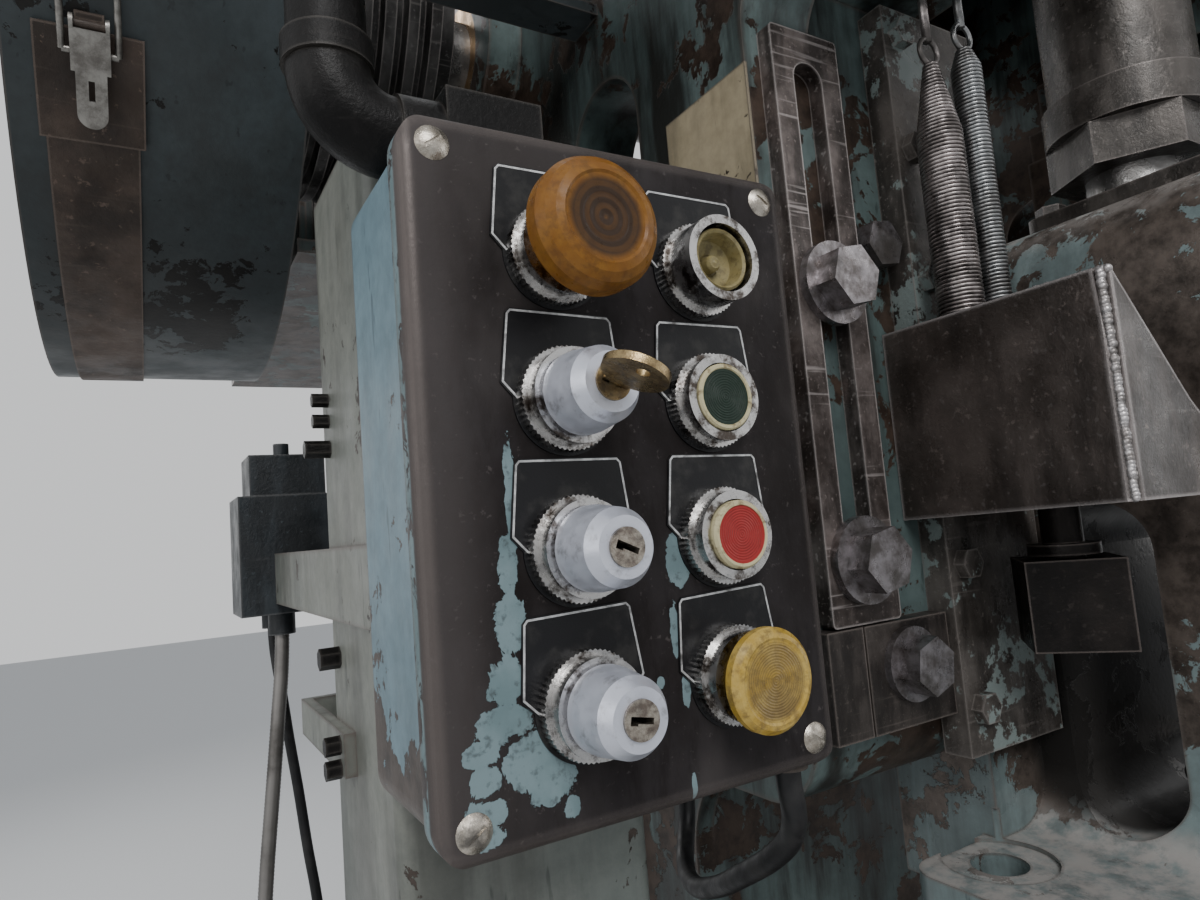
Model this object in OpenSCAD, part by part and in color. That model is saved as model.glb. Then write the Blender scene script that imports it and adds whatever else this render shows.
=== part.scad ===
// Gap-frame stamping press with a post-mounted operator station, millimetres.
// X runs across the press, Y from the front to the back, Z up from the floor.
// The origin is the middle of the anchor bolt pattern, under the slide's centre.

/* [Frame] */
// Width over the two cast cheeks
frame_w = 700; // [670:5:740]
// Thickness of each cheek
cheek_t = 60; // [54:1:64]
// Height of the bed's top above the floor
bed_top = 735; // [715:5:745]
// Depth of the bed from front to back
bed_d = 600; // [580:10:640]
// Width of the bed plate, which overhangs the cheeks
bed_w = 780; // [770:5:820]
// Thickness of the bed plate
bed_t = 75; // [60:5:90]
// Throat depth behind the slide's centre line
throat_d = 250; // [240:5:270]
// Back face of the uprights
back_y = 480; // [475:5:500]
// Height of the underside of the uprights' front pads
way_low = 1150; // [1140:5:1155]
// Height of the underside of the head
head_low = 1690; // [1680:5:1700]
// Height of the top of the head
head_top = 2080; // [2075:5:2110]
// Reach of the head in front of the slide's centre line
nose_d = 150; // [145:5:170]
// Spacing of the anchor bolts across the press
anchor_w = 780; // [770:10:800]
// Spacing of the anchor bolts from front to back
anchor_d = 680; // [670:10:700]

/* [Drive] */
// Height of the crankshaft
crank_z = 1880; // [1875:1:1885]
// Stroke of the slide
stroke = 76; // [70:1:78]
// Radius of the main journals
journal_r = 60; // [54:1:62]
// Radius of the crankpin
pin_r = 62; // [58:1:64]
// Gear module
gear_module = 12; // [11.9:0.1:12]
// Teeth of the bull gear
gear_teeth = 62; // [60:1:62]
// Teeth of the pinion
pinion_teeth = 15; // [14:1:15]
// Width of the gear teeth
gear_w = 76; // [70:1:80]
// Radius of the back shaft
shaft_r = 40; // [36:1:42]
// Radius of the flywheel
flywheel_r = 310; // [300:2:316]
// Width of the flywheel rim
flywheel_w = 110; // [100:2:116]
// Radius of the motor pulley
pulley_r = 80; // [76:1:86]
// Distance from the back shaft to the motor shaft
belt_span = 560; // [550:1:570]
// Number of V-belts
belt_count = 3; // [2:1:4]

/* [Slide] */
// Width of the slide's front body
slide_w = 260; // [252:1:262]
// Half width of the slide over its guide wings
wing_x = 190; // [188:1:192]
// Thickness of the guide wings
wing_t = 82; // [78:1:86]
// Width of the slide's bottom flange
flange_w = 542; // [520:2:546]
// Thickness of the slide's bottom flange
flange_t = 45; // [40:1:50]
// Height of the flange's top face with the slide at the top of its stroke
flange_z = 1098; // [1094:1:1102]
// Height of the slide above its flange
slide_h = 434; // [430:1:436]
// Radius of the die shank hole
shank_r = 25.4; // [20:0.1:30]
// Radius of the ball on the adjusting screw
ball_r = 42; // [40:0.5:43]
// Radius of the adjusting screw
screw_r = 34; // [32:0.5:36]

/* [Operator station] */
// Width of the box cover
cover_w = 188; // [184:1:192]
// Height of the box cover
cover_h = 273; // [268:1:278]
// Depth of the box behind its cover
box_d = 86; // [84:1:90]
// Thickness of the box's sheet steel
sheet_t = 2; // [1.5:0.1:2.5]
// Distance between the two columns of operators
col_pitch = 70; // [68:1:72]
// Distance between the rows of operators
row_pitch = 57.9; // [57:0.1:58.4]
// Radius of the chrome operator rings
ring_r = 20; // [19:0.1:21]
// Diameter of the amber palm button
amber_d = 50; // [46:1:52]
// Diameter of the yellow palm button
yellow_d = 41.5; // [38:0.5:44]
// Travel of the push buttons
button_travel = 5; // [4:0.5:5.5]
// Side of the square post
post_w = 127; // [120:1:130]
// Height of the post
post_h = 1535; // [1520:1:1540]

/* [Stop linkage] */
// Width of the slotted bar
bar_w = 60; // [56:1:64]
// Length of the slotted bar
bar_h = 386; // [380:2:390]
// Side of the square stop block
block_w = 56; // [50:1:58]
// Travel of the spring-held stud
stud_travel = 14; // [8:1:16]
// Outer radius of the large spring
spring_large_r = 14.7; // [13:0.1:15]
// Outer radius of the small spring
spring_small_r = 10; // [9:0.1:11]

/* [Hidden] */
$fn = 48;

// Fits
run_gap = 0.05;
slide_gap = 0.2;
seat_gap = 0.3;

// Frame
cheek_x = frame_w / 2;
cheek_in = cheek_x - cheek_t;
bed_front = -bed_d / 2;
nose_y = -nose_d;
way_y = 58;
way_depth = 112;
way_in = wing_x + 10;
way_lip = 40;
head_back = 560;
head_r = 70;
throat_r = 90;
// Recess in the outer face of each cheek beside the throat
waist_d = 42;
waist_l = 240;
waist_end = 15;
boss_reach = 35;
main_boss_r = 112;
bush_t = 15;
main_boss_in = 225;
shaft_boss_r = 92;
shaft_boss_in = 270;
foot_t = 40;
foot_w = 120;
anchor_r = 14;
wall_t = 45;
window_y = 232;
window_w = 100;
window_low = 1330;
window_high = 1700;
bed_hole_r = 110;

// Crank train, at the top of the stroke
throw = stroke / 2;
pin_z = crank_z + throw;
web_t = 40;
pin_half = 75;
web_r = 112;
crank_left = -402;
crank_right = 500;
rod_half = 66;
rod_r = 98;
rod_lug_y = 80;
rod_bolt_r = 11;
barrel_r = 52;
ball_z = flange_z + 342;
barrel_low = ball_z + 170;
nut_h = 34;
nut_r = 58;

// Gears and back shaft
centre_distance = gear_module * (gear_teeth + pinion_teeth) / 2;
shaft_rise = -35;
shaft_y = sqrt(centre_distance * centre_distance - shaft_rise * shaft_rise);
shaft_z = crank_z + shaft_rise;
mesh_angle = atan2(shaft_rise, shaft_y);
gear_x = 402;
shaft_left = -742;
shaft_right = 500;
pressure_angle = 20;
backlash = 0.5;

// Flywheel, belts and guard
flywheel_x = -670;
groove_pitch = 22;
groove_w = 13.6;
groove_depth = 14;
belt_w = 13;
belt_h = 11;
motor_y = shaft_y + belt_span;
guard_r = 350;
guard_tail_r = 130;
guard_left = -752;
guard_right = -593;
guard_t = 3;
band_left = -734;
band_right = -687;
band_t = 2;
clutch_r = 165;
clutch_left = -570;
clutch_right = -395;
motor_r = 130;
motor_left = -575;
motor_right = -235;
motor_foot = 210;

// Slide
slide_front = -105;
wing_front = way_y + slide_gap;
wing_back = wing_front + wing_t;
flange_front = -160;
flange_back = 71;
flange_low = flange_z - flange_t;
slide_top = flange_z + slide_h;
shoulder_r = 55;
cove_r = 38;
pocket_r = ball_r + 4;
pocket_low = ball_z - ball_r - 10;
slot_half = 34.5;
oil_hole_r = 10;
slot_low = flange_z + 6;
slot_high = flange_z + 223;
spot_r = 35;
flange_hole_r = 17.5;
flange_hole_x = 218;
flange_hole_y = [41, -110];
gib_low = 1165;
gib_high = 1680;
gib_t = 20;
gib_front = way_y - gib_t;
gib_out = 236;
gib_in = 134;
gib_screw_x = 221;
gib_screw_z = [1195, 1288, 1482, 1575, 1660];

// Operator station
station_x = -514;
station_y = -30;
station_z = 1354;
op_x = -512;
op_z = station_z - 2;
box_back = station_y + box_d;
box_gap = 1;
lip_d = 12;
corner_r = 16;
fold_r = 6;
hole_r = 15.3;
barrel_op_r = 15;
screw_head_r = 6.8;
screw_x = 80.3;
screw_z = 123.9;
plate_t = 0.8;
plate_w = 47;
plate_rise = 35.2;
plate_drop = 29.3;
plate_flare = 3.3;
ring_h = 12;
ring_bore_r = 14.8;
teeth_count = 60;
guard_ring_h = 21;
cap_gap = 0.5;
key_face = 37.5;
key_r = 16;
plug_r = 7;
post_x = -534;
post_wall = 6;
pipe_r = 16.7;
pipe_x = -618;
pipe_y = 27;
pipe_top = 1740;
bend_r = 60;
elbow_r = 26;

// Stop linkage beside the slide
bar_x = -307;
bar_low = 1259;
bar_t = 12;
bar_slot_r = 12.5;
bar_bolt_z = [1473, 1298];
washer_r = 27;
clamp_x = [-345, -237];
clamp_low = 1193;
clamp_t = 14;
clamp_bolt = [-277, 1231];
bracket_x = [-250, -150];
bracket_front = -88;
bracket_low = 1322;
bracket_h = 125;
bracket_t = 6;
bracket_back_t = 10;
stud_x = -178;
stud_y = -5;
stud_r = 12;
block_top = 1288;
block_turn = 40;
yoke_z = 1345;
yoke_t = 8;
spring_low = yoke_z + yoke_t;
spring_large_x = -228;
spring_large_y = 11;
spring_large_top = 1621;
spring_small_x = -199;
spring_small_y = 4.5;
spring_small_top = 1635;
wire_r = 1.3;
hook_r = 2;

// Cords
lead_r = 4;
lead_points = [
    [-601, 397, 1283], [-601, 397, 1270], [-600, 396, 1250], [-596, 396, 1218], [-592, 395, 1182],
    [-587, 394, 1143], [-582, 393, 1098], [-577, 391, 1059], [-573, 388, 1010], [-570, 384, 960],
    [-568, 379, 910], [-566, 373, 860], [-565, 366, 810], [-564, 358, 760], [-563, 349, 710],
    [-562, 339, 660], [-561, 328, 610], [-560, 315, 560], [-560, 300, 515], [-560, 284, 474],
    [-560, 267, 440], [-560, 251, 414], [-560, 237, 396], [-560, 224, 384], [-560, 211, 378],
    [-560, 200, 377], [-560, 187, 377]
];
conduit_r = 5.5;
conduit_points = [
    [-597, 375, 1283], [-597, 375, 1271], [-599, 373, 1240], [-603, 371, 1205], [-607, 369, 1170],
    [-611, 368, 1135], [-615, 367, 1100], [-619, 365, 1060], [-623, 363, 1020], [-626, 360, 980],
    [-629, 356, 940], [-631, 351, 900], [-633, 344, 860], [-634, 336, 820], [-635, 327, 780],
    [-635, 317, 740], [-635, 306, 700], [-635, 294, 660], [-634, 281, 620], [-633, 268, 580],
    [-632, 254, 540], [-631, 240, 500], [-630, 225, 460], [-629, 209, 425], [-628, 192, 392],
    [-627, 175, 362], [-626, 158, 336], [-625, 143, 315], [-623, 131, 299], [-618, 123, 289],
    [-611, 120, 285], [-601, 120, 285]
];
cable_r = 6;
cable_points = [
    [-432, -8, 1222], [-432, -8, 1205], [-430, -7, 1195], [-426, -2, 1184], [-421, 9, 1171],
    [-418, 28, 1156], [-413, 60, 1136], [-407, 88, 1120], [-400, 118, 1107], [-391, 142, 1102.5],
    [-379, 162, 1103], [-369, 174, 1110], [-361, 182, 1121], [-357.5, 185, 1136], [-357, 185, 1150],
    [-357, 185, 1162]
];

// A (Y, Z) outline carried from one X to another
module side(x0, x1) {
    translate([x0, 0, 0]) rotate([90, 0, 90]) linear_extrude(x1 - x0) children();
}

// An (X, Z) outline carried from one Y to another
module front(y0, y1) {
    translate([0, y1, 0]) rotate([90, 0, 0]) linear_extrude(y1 - y0) children();
}

module xrod(x0, x1, r, y, z) {
    translate([x0, y, z]) rotate([0, 90, 0]) cylinder(r = r, h = x1 - x0);
}

module yrod(y0, y1, r, x, z) {
    translate([x, y1, z]) rotate([90, 0, 0]) cylinder(r = r, h = y1 - y0);
}

module zrod(z0, z1, r, x, y) {
    translate([x, y, z0]) cylinder(r = r, h = z1 - z0);
}

module rrect(x0, y0, x1, y1, r) {
    translate([x0 + r, y0]) square([x1 - x0 - 2 * r, y1 - y0]);
    translate([x0, y0 + r]) square([x1 - x0, y1 - y0 - 2 * r]);
    for (x = [x0 + r, x1 - r], y = [y0 + r, y1 - r]) translate([x, y]) circle(r);
}

// A quarter-round corner: added it makes a cove, and taken away it rounds an edge
module cove(x, y, r, sx, sy) {
    translate([x, y]) difference() {
        translate([sx < 0 ? -r : 0, sy < 0 ? -r : 0]) square(r);
        translate([sx * r, sy * r]) circle(r);
    }
}

module both_sides() {
    children();
    mirror([1, 0, 0]) children();
}

// Hexagon head with its washer face on a plane of constant Y, pointing to the front
module hex_head(x, y, z, r, h, turn = 0) {
    translate([x, y, z]) rotate([90, 0, 0]) rotate([0, 0, turn]) cylinder(r = r, h = h, $fn = 6);
}

module cheek_profile() {
    difference() {
        union() {
            translate([bed_front, 0]) square([back_y - bed_front, bed_top - 1]);
            translate([throat_d, 0]) square([back_y - throat_d, head_low + 60]);
            translate([way_y, way_low]) square([back_y - way_y, head_low + 60 - way_low]);
            rrect(nose_y, head_low, head_back, head_top, head_r);
            cove(throat_d, bed_top - 1, throat_r, -1, 1);
            cove(throat_d, way_low, throat_r, -1, -1);
            cove(way_y, head_low, throat_r / 2, -1, -1);
            cove(back_y, head_low, throat_r / 2, 1, -1);
        }
        cove(way_y, way_low, throat_r / 2, 1, 1);
        rrect(window_y - window_w / 2, window_low, window_y + window_w / 2, window_high,
              window_w / 2 - 1);
        rrect(bed_front + 110, 170, back_y - 130, bed_top - bed_t - 90, 80);
    }
}

module press_frame() {
    color("cadetblue") difference() {
        union() {
            both_sides() {
                side(cheek_in, cheek_x) cheek_profile();
                side(way_in, cheek_in + 1) difference() {
                    translate([way_y, way_low]) square([way_depth, crank_z - way_low - 90]);
                    cove(way_y, way_low, throat_r / 2, 1, 1);
                }
                side(way_in - way_lip, way_in + 1)
                    translate([wing_back + slide_gap, way_low])
                        square([way_y + way_depth - wing_back - slide_gap, head_low - way_low]);
                translate([way_in - 30, nose_y + head_r, head_low])
                    cube([cheek_in - way_in + 31, way_depth + way_y - nose_y - head_r, 35]);
                xrod(main_boss_in, cheek_x + boss_reach, main_boss_r, 0, crank_z);
                xrod(shaft_boss_in, cheek_x + boss_reach, shaft_boss_r, shaft_y, shaft_z);
                for (y = [-1, 1]) translate([cheek_in, y * anchor_d / 2 - foot_w / 2, 0])
                    cube([anchor_w / 2 + foot_w / 2 - cheek_in, foot_w, foot_t]);
            }
            translate([0, 0, bed_top - bed_t]) linear_extrude(bed_t)
                rrect(-bed_w / 2, bed_front, bed_w / 2, -bed_front, 25);
            translate([-cheek_in - 1, bed_front, bed_top / 3])
                cube([2 * cheek_in + 2, wall_t, bed_top * 2 / 3 - bed_t + 1]);
            translate([-cheek_in - 1, throat_d - wall_t, bed_top / 2])
                cube([2 * cheek_in + 2, wall_t, bed_top / 2 - bed_t + 1]);
            translate([-cheek_in - 1, throat_d, bed_top - 1])
                cube([2 * cheek_in + 2, wall_t, way_low - bed_top + 1]);
            translate([-cheek_in - 1, nose_y + 90, head_top - 40])
                cube([2 * cheek_in + 2, head_back - nose_y - 90 - head_r, 40]);
            translate([-cheek_in - 1, back_y - wall_t, bed_top + 40])
                cube([2 * cheek_in + 2, wall_t, 130]);
            translate([-cheek_in - 1, 310, head_top - 190])
                cube([2 * cheek_in + 2, 40, 160]);
        }
        both_sides() {
            translate([cheek_x - waist_d, throat_d - throat_r - 1, bed_top])
                cube([waist_d + 1, waist_l, way_low - waist_end - bed_top]);
            xrod(main_boss_in - 1, cheek_x + boss_reach + 1, journal_r + bush_t, 0, crank_z);
            xrod(shaft_boss_in - 1, cheek_x + boss_reach + 1, shaft_r + bush_t, shaft_y, shaft_z);
            for (y = [-1, 1])
                zrod(-1, foot_t + 1, anchor_r, anchor_w / 2, y * anchor_d / 2);
            for (y = [-1, 1])
                zrod(bed_top - 40, bed_top + 1, 12, bolster_bolt_x, y * bolster_bolt_y);
        }
        zrod(bed_top - bed_t - 1, bed_top + 1, bed_hole_r, 0, 0);
    }
}

// Bolster with three T-slots running from front to back
bolster_w = 570;
bolster_d = 500;
bolster_t = 65;
bolster_bolt_x = 250;
bolster_bolt_y = 215;
bolster_top = bed_top + bolster_t;

module bolster_plate() {
    color("dimgray") difference() {
        translate([0, 0, bed_top]) linear_extrude(bolster_t)
            rrect(-bolster_w / 2, -bolster_d / 2, bolster_w / 2, bolster_d / 2, 6);
        for (x = [-200, 0, 200]) front(-bolster_d / 2 - 1, bolster_d / 2 + 1) {
            translate([x - 11, bolster_top - 22]) square([22, 23]);
            translate([x - 19, bolster_top - 36]) square([38, 15]);
        }
        zrod(bed_top - 1, bolster_top + 1, bed_hole_r - 30, 0, 0);
        for (x = [-1, 1], y = [-1, 1])
            zrod(bed_top - 1, bolster_top + 1, 13, x * bolster_bolt_x, y * bolster_bolt_y);
    }
}

module bolster_bolts() {
    color("darkgray") for (x = [-1, 1], y = [-1, 1])
        translate([x * bolster_bolt_x, y * bolster_bolt_y, bolster_top]) {
            cylinder(r = 22, h = 4);
            translate([0, 0, 4]) cylinder(r = 20, h = 15, $fn = 6);
            translate([0, 0, -bolster_t - 35]) cylinder(r = 12 - run_gap, h = bolster_t + 36);
        }
}

module bush(x0, x1, r, y, z) {
    difference() {
        xrod(x0, x1, r + bush_t - run_gap, y, z);
        xrod(x0 - 1, x1 + 1, r + run_gap, y, z);
    }
}

module bronze_bushes() {
    color("peru") both_sides() {
        bush(main_boss_in, cheek_x + boss_reach, journal_r, 0, crank_z);
        bush(shaft_boss_in, cheek_x + boss_reach, shaft_r, shaft_y, shaft_z);
    }
}

module crankshaft() {
    color("slategray") {
        for (s = [0, 1]) mirror([s, 0, 0]) xrod(pin_half, pin_half + web_t, web_r, 0, crank_z + throw / 2);
        xrod(-pin_half - 1, pin_half + 1, pin_r, 0, pin_z);
        xrod(crank_left, -pin_half - web_t / 2, journal_r, 0, crank_z);
        xrod(pin_half + web_t / 2, crank_right, journal_r, 0, crank_z);
        xrod(crank_left - 12, crank_left + 1, journal_r + 18, 0, crank_z);
    }
}

// Involute gear outline: points up one flank and down the other of each tooth
function involute_angle(r, base) =
    r <= base ? 0 : sqrt(r * r / (base * base) - 1) * 180 / PI - acos(base / r);

function half_tooth(r, pitch, base, teeth) =
    (PI / 2 * gear_module - backlash) / (2 * pitch) * 180 / PI
    + involute_angle(pitch, base) - involute_angle(r, base);

function gear_outline(teeth) =
    let (
        pitch = gear_module * teeth / 2,
        base = pitch * cos(pressure_angle),
        root = pitch - 1.25 * gear_module,
        tip = pitch + 0.95 * gear_module,
        radii = [root, max(root + 1, base), (base + tip) / 2, (base + 3 * tip) / 4, tip]
    )
    [for (i = [0 : teeth - 1]) let (mid = i * 360 / teeth) each concat(
        [for (r = radii) let (a = mid - half_tooth(r, pitch, base, teeth)) [r * cos(a), r * sin(a)]],
        [for (k = [4 : -1 : 0]) let (r = radii[k], a = mid + half_tooth(r, pitch, base, teeth))
            [r * cos(a), r * sin(a)]]
    )];

// The gears' outlines are drawn in the (Y, Z) plane, turned so that they mesh at rest
module bull_gear() {
    rim_in = gear_module * gear_teeth / 2 - 45;
    color("dimgray") difference() {
        union() {
            side(gear_x, gear_x + gear_w) translate([0, crank_z]) difference() {
                rotate(mesh_angle) polygon(gear_outline(gear_teeth));
                circle(rim_in);
            }
            side(gear_x + 22, gear_x + gear_w - 22) translate([0, crank_z]) difference() {
                circle(rim_in + 2);
                for (i = [0 : 5]) rotate(i * 60 + 30) translate([rim_in * 0.6, 0]) circle(62);
            }
            xrod(gear_x - 6, gear_x + gear_w + 6, journal_r + 38, 0, crank_z);
        }
        xrod(gear_x - 10, gear_x + gear_w + 10, journal_r + run_gap, 0, crank_z);
    }
}

module pinion() {
    color("gray") difference() {
        side(gear_x - 4, gear_x + gear_w + 4) translate([shaft_y, shaft_z])
            rotate(mesh_angle + 180 + 180 / pinion_teeth) polygon(gear_outline(pinion_teeth));
        xrod(gear_x - 5, gear_x + gear_w + 5, shaft_r + run_gap, shaft_y, shaft_z);
    }
}

module connecting_rod() {
    color("slategray") difference() {
        union() {
            side(-rod_half, rod_half) intersection() {
                translate([0, pin_z]) circle(rod_r);
                translate([-rod_r, pin_z - rod_r - 1]) square([2 * rod_r, rod_r + 1]);
            }
            translate([-30, -rod_lug_y - 20, pin_z - 40]) cube([60, 2 * rod_lug_y + 40, 40]);
            zrod(barrel_low, pin_z - rod_r + 40, barrel_r, 0, 0);
            zrod(barrel_low, barrel_low + 30, barrel_r + 6, 0, 0);
        }
        xrod(-rod_half - 1, rod_half + 1, pin_r + run_gap, 0, pin_z);
        for (y = [-1, 1]) zrod(pin_z - 41, pin_z + 1, rod_bolt_r + run_gap, 0, y * (rod_lug_y + 4));
        for (y = [-1, 1]) zrod(pin_z - 110, pin_z - 40, 20, 0, y * (rod_lug_y + 4));
        zrod(barrel_low - 1, barrel_low + 110, screw_r + run_gap, 0, 0);
    }
}

module rod_cap() {
    color("slategray") difference() {
        union() {
            side(-rod_half, rod_half) intersection() {
                translate([0, pin_z]) circle(rod_r);
                translate([-rod_r, pin_z + seat_gap]) square([2 * rod_r, rod_r]);
            }
            translate([-30, -rod_lug_y - 20, pin_z + seat_gap])
                cube([60, 2 * rod_lug_y + 40, 40 - seat_gap]);
        }
        xrod(-rod_half - 1, rod_half + 1, pin_r + run_gap, 0, pin_z);
        for (y = [-1, 1]) {
            zrod(pin_z - 1, pin_z + 41, rod_bolt_r + run_gap, 0, y * (rod_lug_y + 4));
            zrod(pin_z + 40, pin_z + 110, 20, 0, y * (rod_lug_y + 4));
        }
    }
}

module rod_bolts() {
    color("darkgray") for (y = [-1, 1]) {
        yy = y * (rod_lug_y + 4);
        zrod(pin_z - 54, pin_z + 41, rod_bolt_r, 0, yy);
        translate([0, yy, pin_z + 40]) cylinder(r = 18, h = 14, $fn = 6);
        translate([0, yy, pin_z - 54]) cylinder(r = 18, h = 14, $fn = 6);
    }
}

module adjusting_screw() {
    color("silver") {
        translate([0, 0, ball_z]) sphere(ball_r);
        zrod(ball_z + 20, barrel_low + 100, screw_r, 0, 0);
    }
}

module lock_nut() {
    color("gray") difference() {
        translate([0, 0, barrel_low - nut_h]) cylinder(r = nut_r, h = nut_h - seat_gap, $fn = 6);
        zrod(barrel_low - nut_h - 1, barrel_low, screw_r + run_gap, 0, 0);
    }
}

module slide_body_outline() {
    difference() {
        translate([-slide_w / 2, flange_z - 2]) square([slide_w, slide_h + 2]);
        for (s = [0, 1]) mirror([s, 0])
            cove(-slide_w / 2, slide_top, shoulder_r, 1, -1);
    }
    for (s = [0, 1]) mirror([s, 0]) cove(-slide_w / 2, flange_z, cove_r, -1, 1);
}

module slide() {
    color("rosybrown") difference() {
        union() {
            front(slide_front, wing_front + 2) slide_body_outline();
            translate([-wing_x, wing_front, flange_low]) cube([2 * wing_x, wing_t, slide_h + flange_t - 20]);
            translate([0, 0, flange_low]) linear_extrude(flange_t)
                rrect(-flange_w / 2, flange_front, flange_w / 2, flange_back, 20);
            side(-slide_w / 2, slide_w / 2) cove(slide_front, flange_z, cove_r, -1, 1);
        }
        side(-slide_w / 2 - 80, slide_w / 2 + 80)
            rrect(-slot_half, slot_low, slot_half + 0.5, slot_high, slot_half - 1);
        translate([0, 0, pocket_low]) linear_extrude(slide_top - pocket_low + 1) {
            translate([-pocket_r, -throw]) square([2 * pocket_r, 2 * throw]);
            for (y = [-1, 1]) translate([0, y * throw]) circle(pocket_r);
        }
        zrod(flange_low - 1, slot_low + 10, shank_r, 0, 0);
        // Oil hole from the pocket down into the slot
        zrod(slot_high - 5, pocket_low + 1, oil_hole_r, 0, 0);
        yrod(flange_front - 1, -shank_r + 8, 10, 0, flange_low + flange_t / 2);
        for (x = [-1, 1], y = flange_hole_y) {
            zrod(flange_low - 1, flange_z + 1, flange_hole_r, x * flange_hole_x, y);
            zrod(flange_z - 3, flange_z + 20, spot_r, x * flange_hole_x, y);
        }
    }
}

// Cap over the ball, slotted so that the ball can swing with the crank
module ball_cap() {
    cap_r = screw_r + 3;
    color("gray") {
        difference() {
            translate([0, 0, slide_top]) linear_extrude(16) difference() {
                rrect(-70, slide_front + 6, 70, wing_front - 4, 12);
                translate([-cap_r, -throw]) square([2 * cap_r, 2 * throw]);
                for (y = [-1, 1]) translate([0, y * throw]) circle(cap_r);
            }
        }
        for (x = [-56, 56], y = [slide_front + 22, wing_front - 20])
            translate([x, y, slide_top + 15.9]) cylinder(r = 11, h = 8, $fn = 6);
    }
}

module shank_screw() {
    z = flange_low + flange_t / 2;
    color("gray") {
        yrod(flange_front - 14, -shank_r - 2, 10 - run_gap, 0, z);
        translate([-12, flange_front - 34, z - 12]) cube([24, 20.1, 24]);
    }
}

module gib() {
    difference() {
        union() {
            translate([-gib_out, gib_front, gib_low]) cube([gib_out - gib_in, gib_t, gib_high - gib_low]);
            translate([-way_in, way_y - 1, gib_low])
                cube([way_in - wing_x - slide_gap, wing_t, gib_high - gib_low]);
        }
        for (z = gib_screw_z) yrod(gib_front - 1, way_y + 1, 6.5, -gib_screw_x, z);
    }
}

module gib_left() {
    color("darkkhaki") gib();
}

module gib_right() {
    color("darkkhaki") mirror([1, 0, 0]) gib();
}

module gib_screws() {
    color("darkgray") both_sides() for (z = gib_screw_z) {
        hex_head(-gib_screw_x, gib_front, z, 10.5, 8);
        yrod(gib_front - 1, way_y, 6.4, -gib_screw_x, z);
    }
}

module back_shaft() {
    color("slategray") {
        xrod(shaft_left, shaft_right, shaft_r, shaft_y, shaft_z);
        xrod(shaft_right - 14, shaft_right + 6, shaft_r + 12, shaft_y, shaft_z);
    }
}

// Clutch and brake housing with cooling ribs, turned about the back shaft
module clutch_drum() {
    span = clutch_right - clutch_left;
    color("darkslategray") translate([clutch_left, shaft_y, shaft_z]) rotate([0, 90, 0])
        rotate_extrude() difference() {
            translate([shaft_r + run_gap, 0]) square([clutch_r - shaft_r, span - 30]);
            for (i = [0 : 5]) translate([clutch_r - 18, 14 + i * 20]) square([30, 10]);
            translate([clutch_r - 60, span - 60]) square([80, 31]);
        }
}

module groove_cuts(r, centre) {
    for (i = [0 : belt_count - 1])
        translate([r - groove_depth, centre + (i - (belt_count - 1) / 2) * groove_pitch - groove_w / 2])
            square([groove_depth + 1, groove_w]);
}

module flywheel() {
    color("darkslategray") difference() {
        translate([flywheel_x, shaft_y, shaft_z]) rotate([0, 90, 0]) rotate_extrude($fn = 96)
            difference() {
                union() {
                    translate([flywheel_r - 62, -flywheel_w / 2]) square([62, flywheel_w]);
                    translate([shaft_r + 20, -16]) square([flywheel_r - shaft_r - 50, 32]);
                    translate([shaft_r + 0.08, -flywheel_w / 2]) square([42, flywheel_w + 12]);
                }
                groove_cuts(flywheel_r, 0);
            }
        for (i = [0 : 5]) rotate_about_shaft(i * 60)
            xrod(flywheel_x - 30, flywheel_x + 30, 42, shaft_y + 162, shaft_z);
    }
}

module rotate_about_shaft(a) {
    translate([0, shaft_y, shaft_z]) rotate([a, 0, 0]) translate([0, -shaft_y, -shaft_z]) children();
}

// Two circles and the straight sides that touch both
module loop_outline(r1, r2, span) {
    lean = asin((r1 - r2) / span);
    circle(r1, $fn = 96);
    translate([span, 0]) circle(r2);
    polygon([
        [r1 * sin(lean), r1 * cos(lean)], [span + r2 * sin(lean), r2 * cos(lean)],
        [span + r2 * sin(lean), -r2 * cos(lean)], [r1 * sin(lean), -r1 * cos(lean)]
    ]);
}

module at_shaft_plane(x0, x1) {
    side(x0, x1) translate([shaft_y, shaft_z]) children();
}

function arc(r, a0, a1, n, cx) =
    [for (i = [0 : n]) let (a = a0 + (a1 - a0) * i / n) [cx + r * cos(a), r * sin(a)]];

module belt_outline(r1, r2, span) {
    wrap = acos((r1 - r2) / span);
    polygon(concat(arc(r1, wrap, 360 - wrap, 40, 0), arc(r2, -wrap, wrap, 16, span)));
}

module v_belts() {
    color("black") for (i = [0 : belt_count - 1]) {
        x = flywheel_x + (i - (belt_count - 1) / 2) * groove_pitch;
        at_shaft_plane(x - belt_w / 2, x + belt_w / 2) difference() {
            belt_outline(flywheel_r + 1, pulley_r + 1, belt_span);
            belt_outline(flywheel_r + 1 - belt_h, pulley_r + 1 - belt_h, belt_span);
        }
    }
}

module motor_pulley() {
    color("gray") translate([flywheel_x, motor_y, shaft_z]) rotate([0, 90, 0]) rotate_extrude()
        difference() {
            translate([24.05, -flywheel_w / 2 + 8]) square([pulley_r - 24.05, flywheel_w - 16]);
            groove_cuts(pulley_r, 0);
        }
}

module guard_outline(inset) {
    loop_outline(guard_r - inset, guard_tail_r - inset, belt_span);
}

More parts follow.
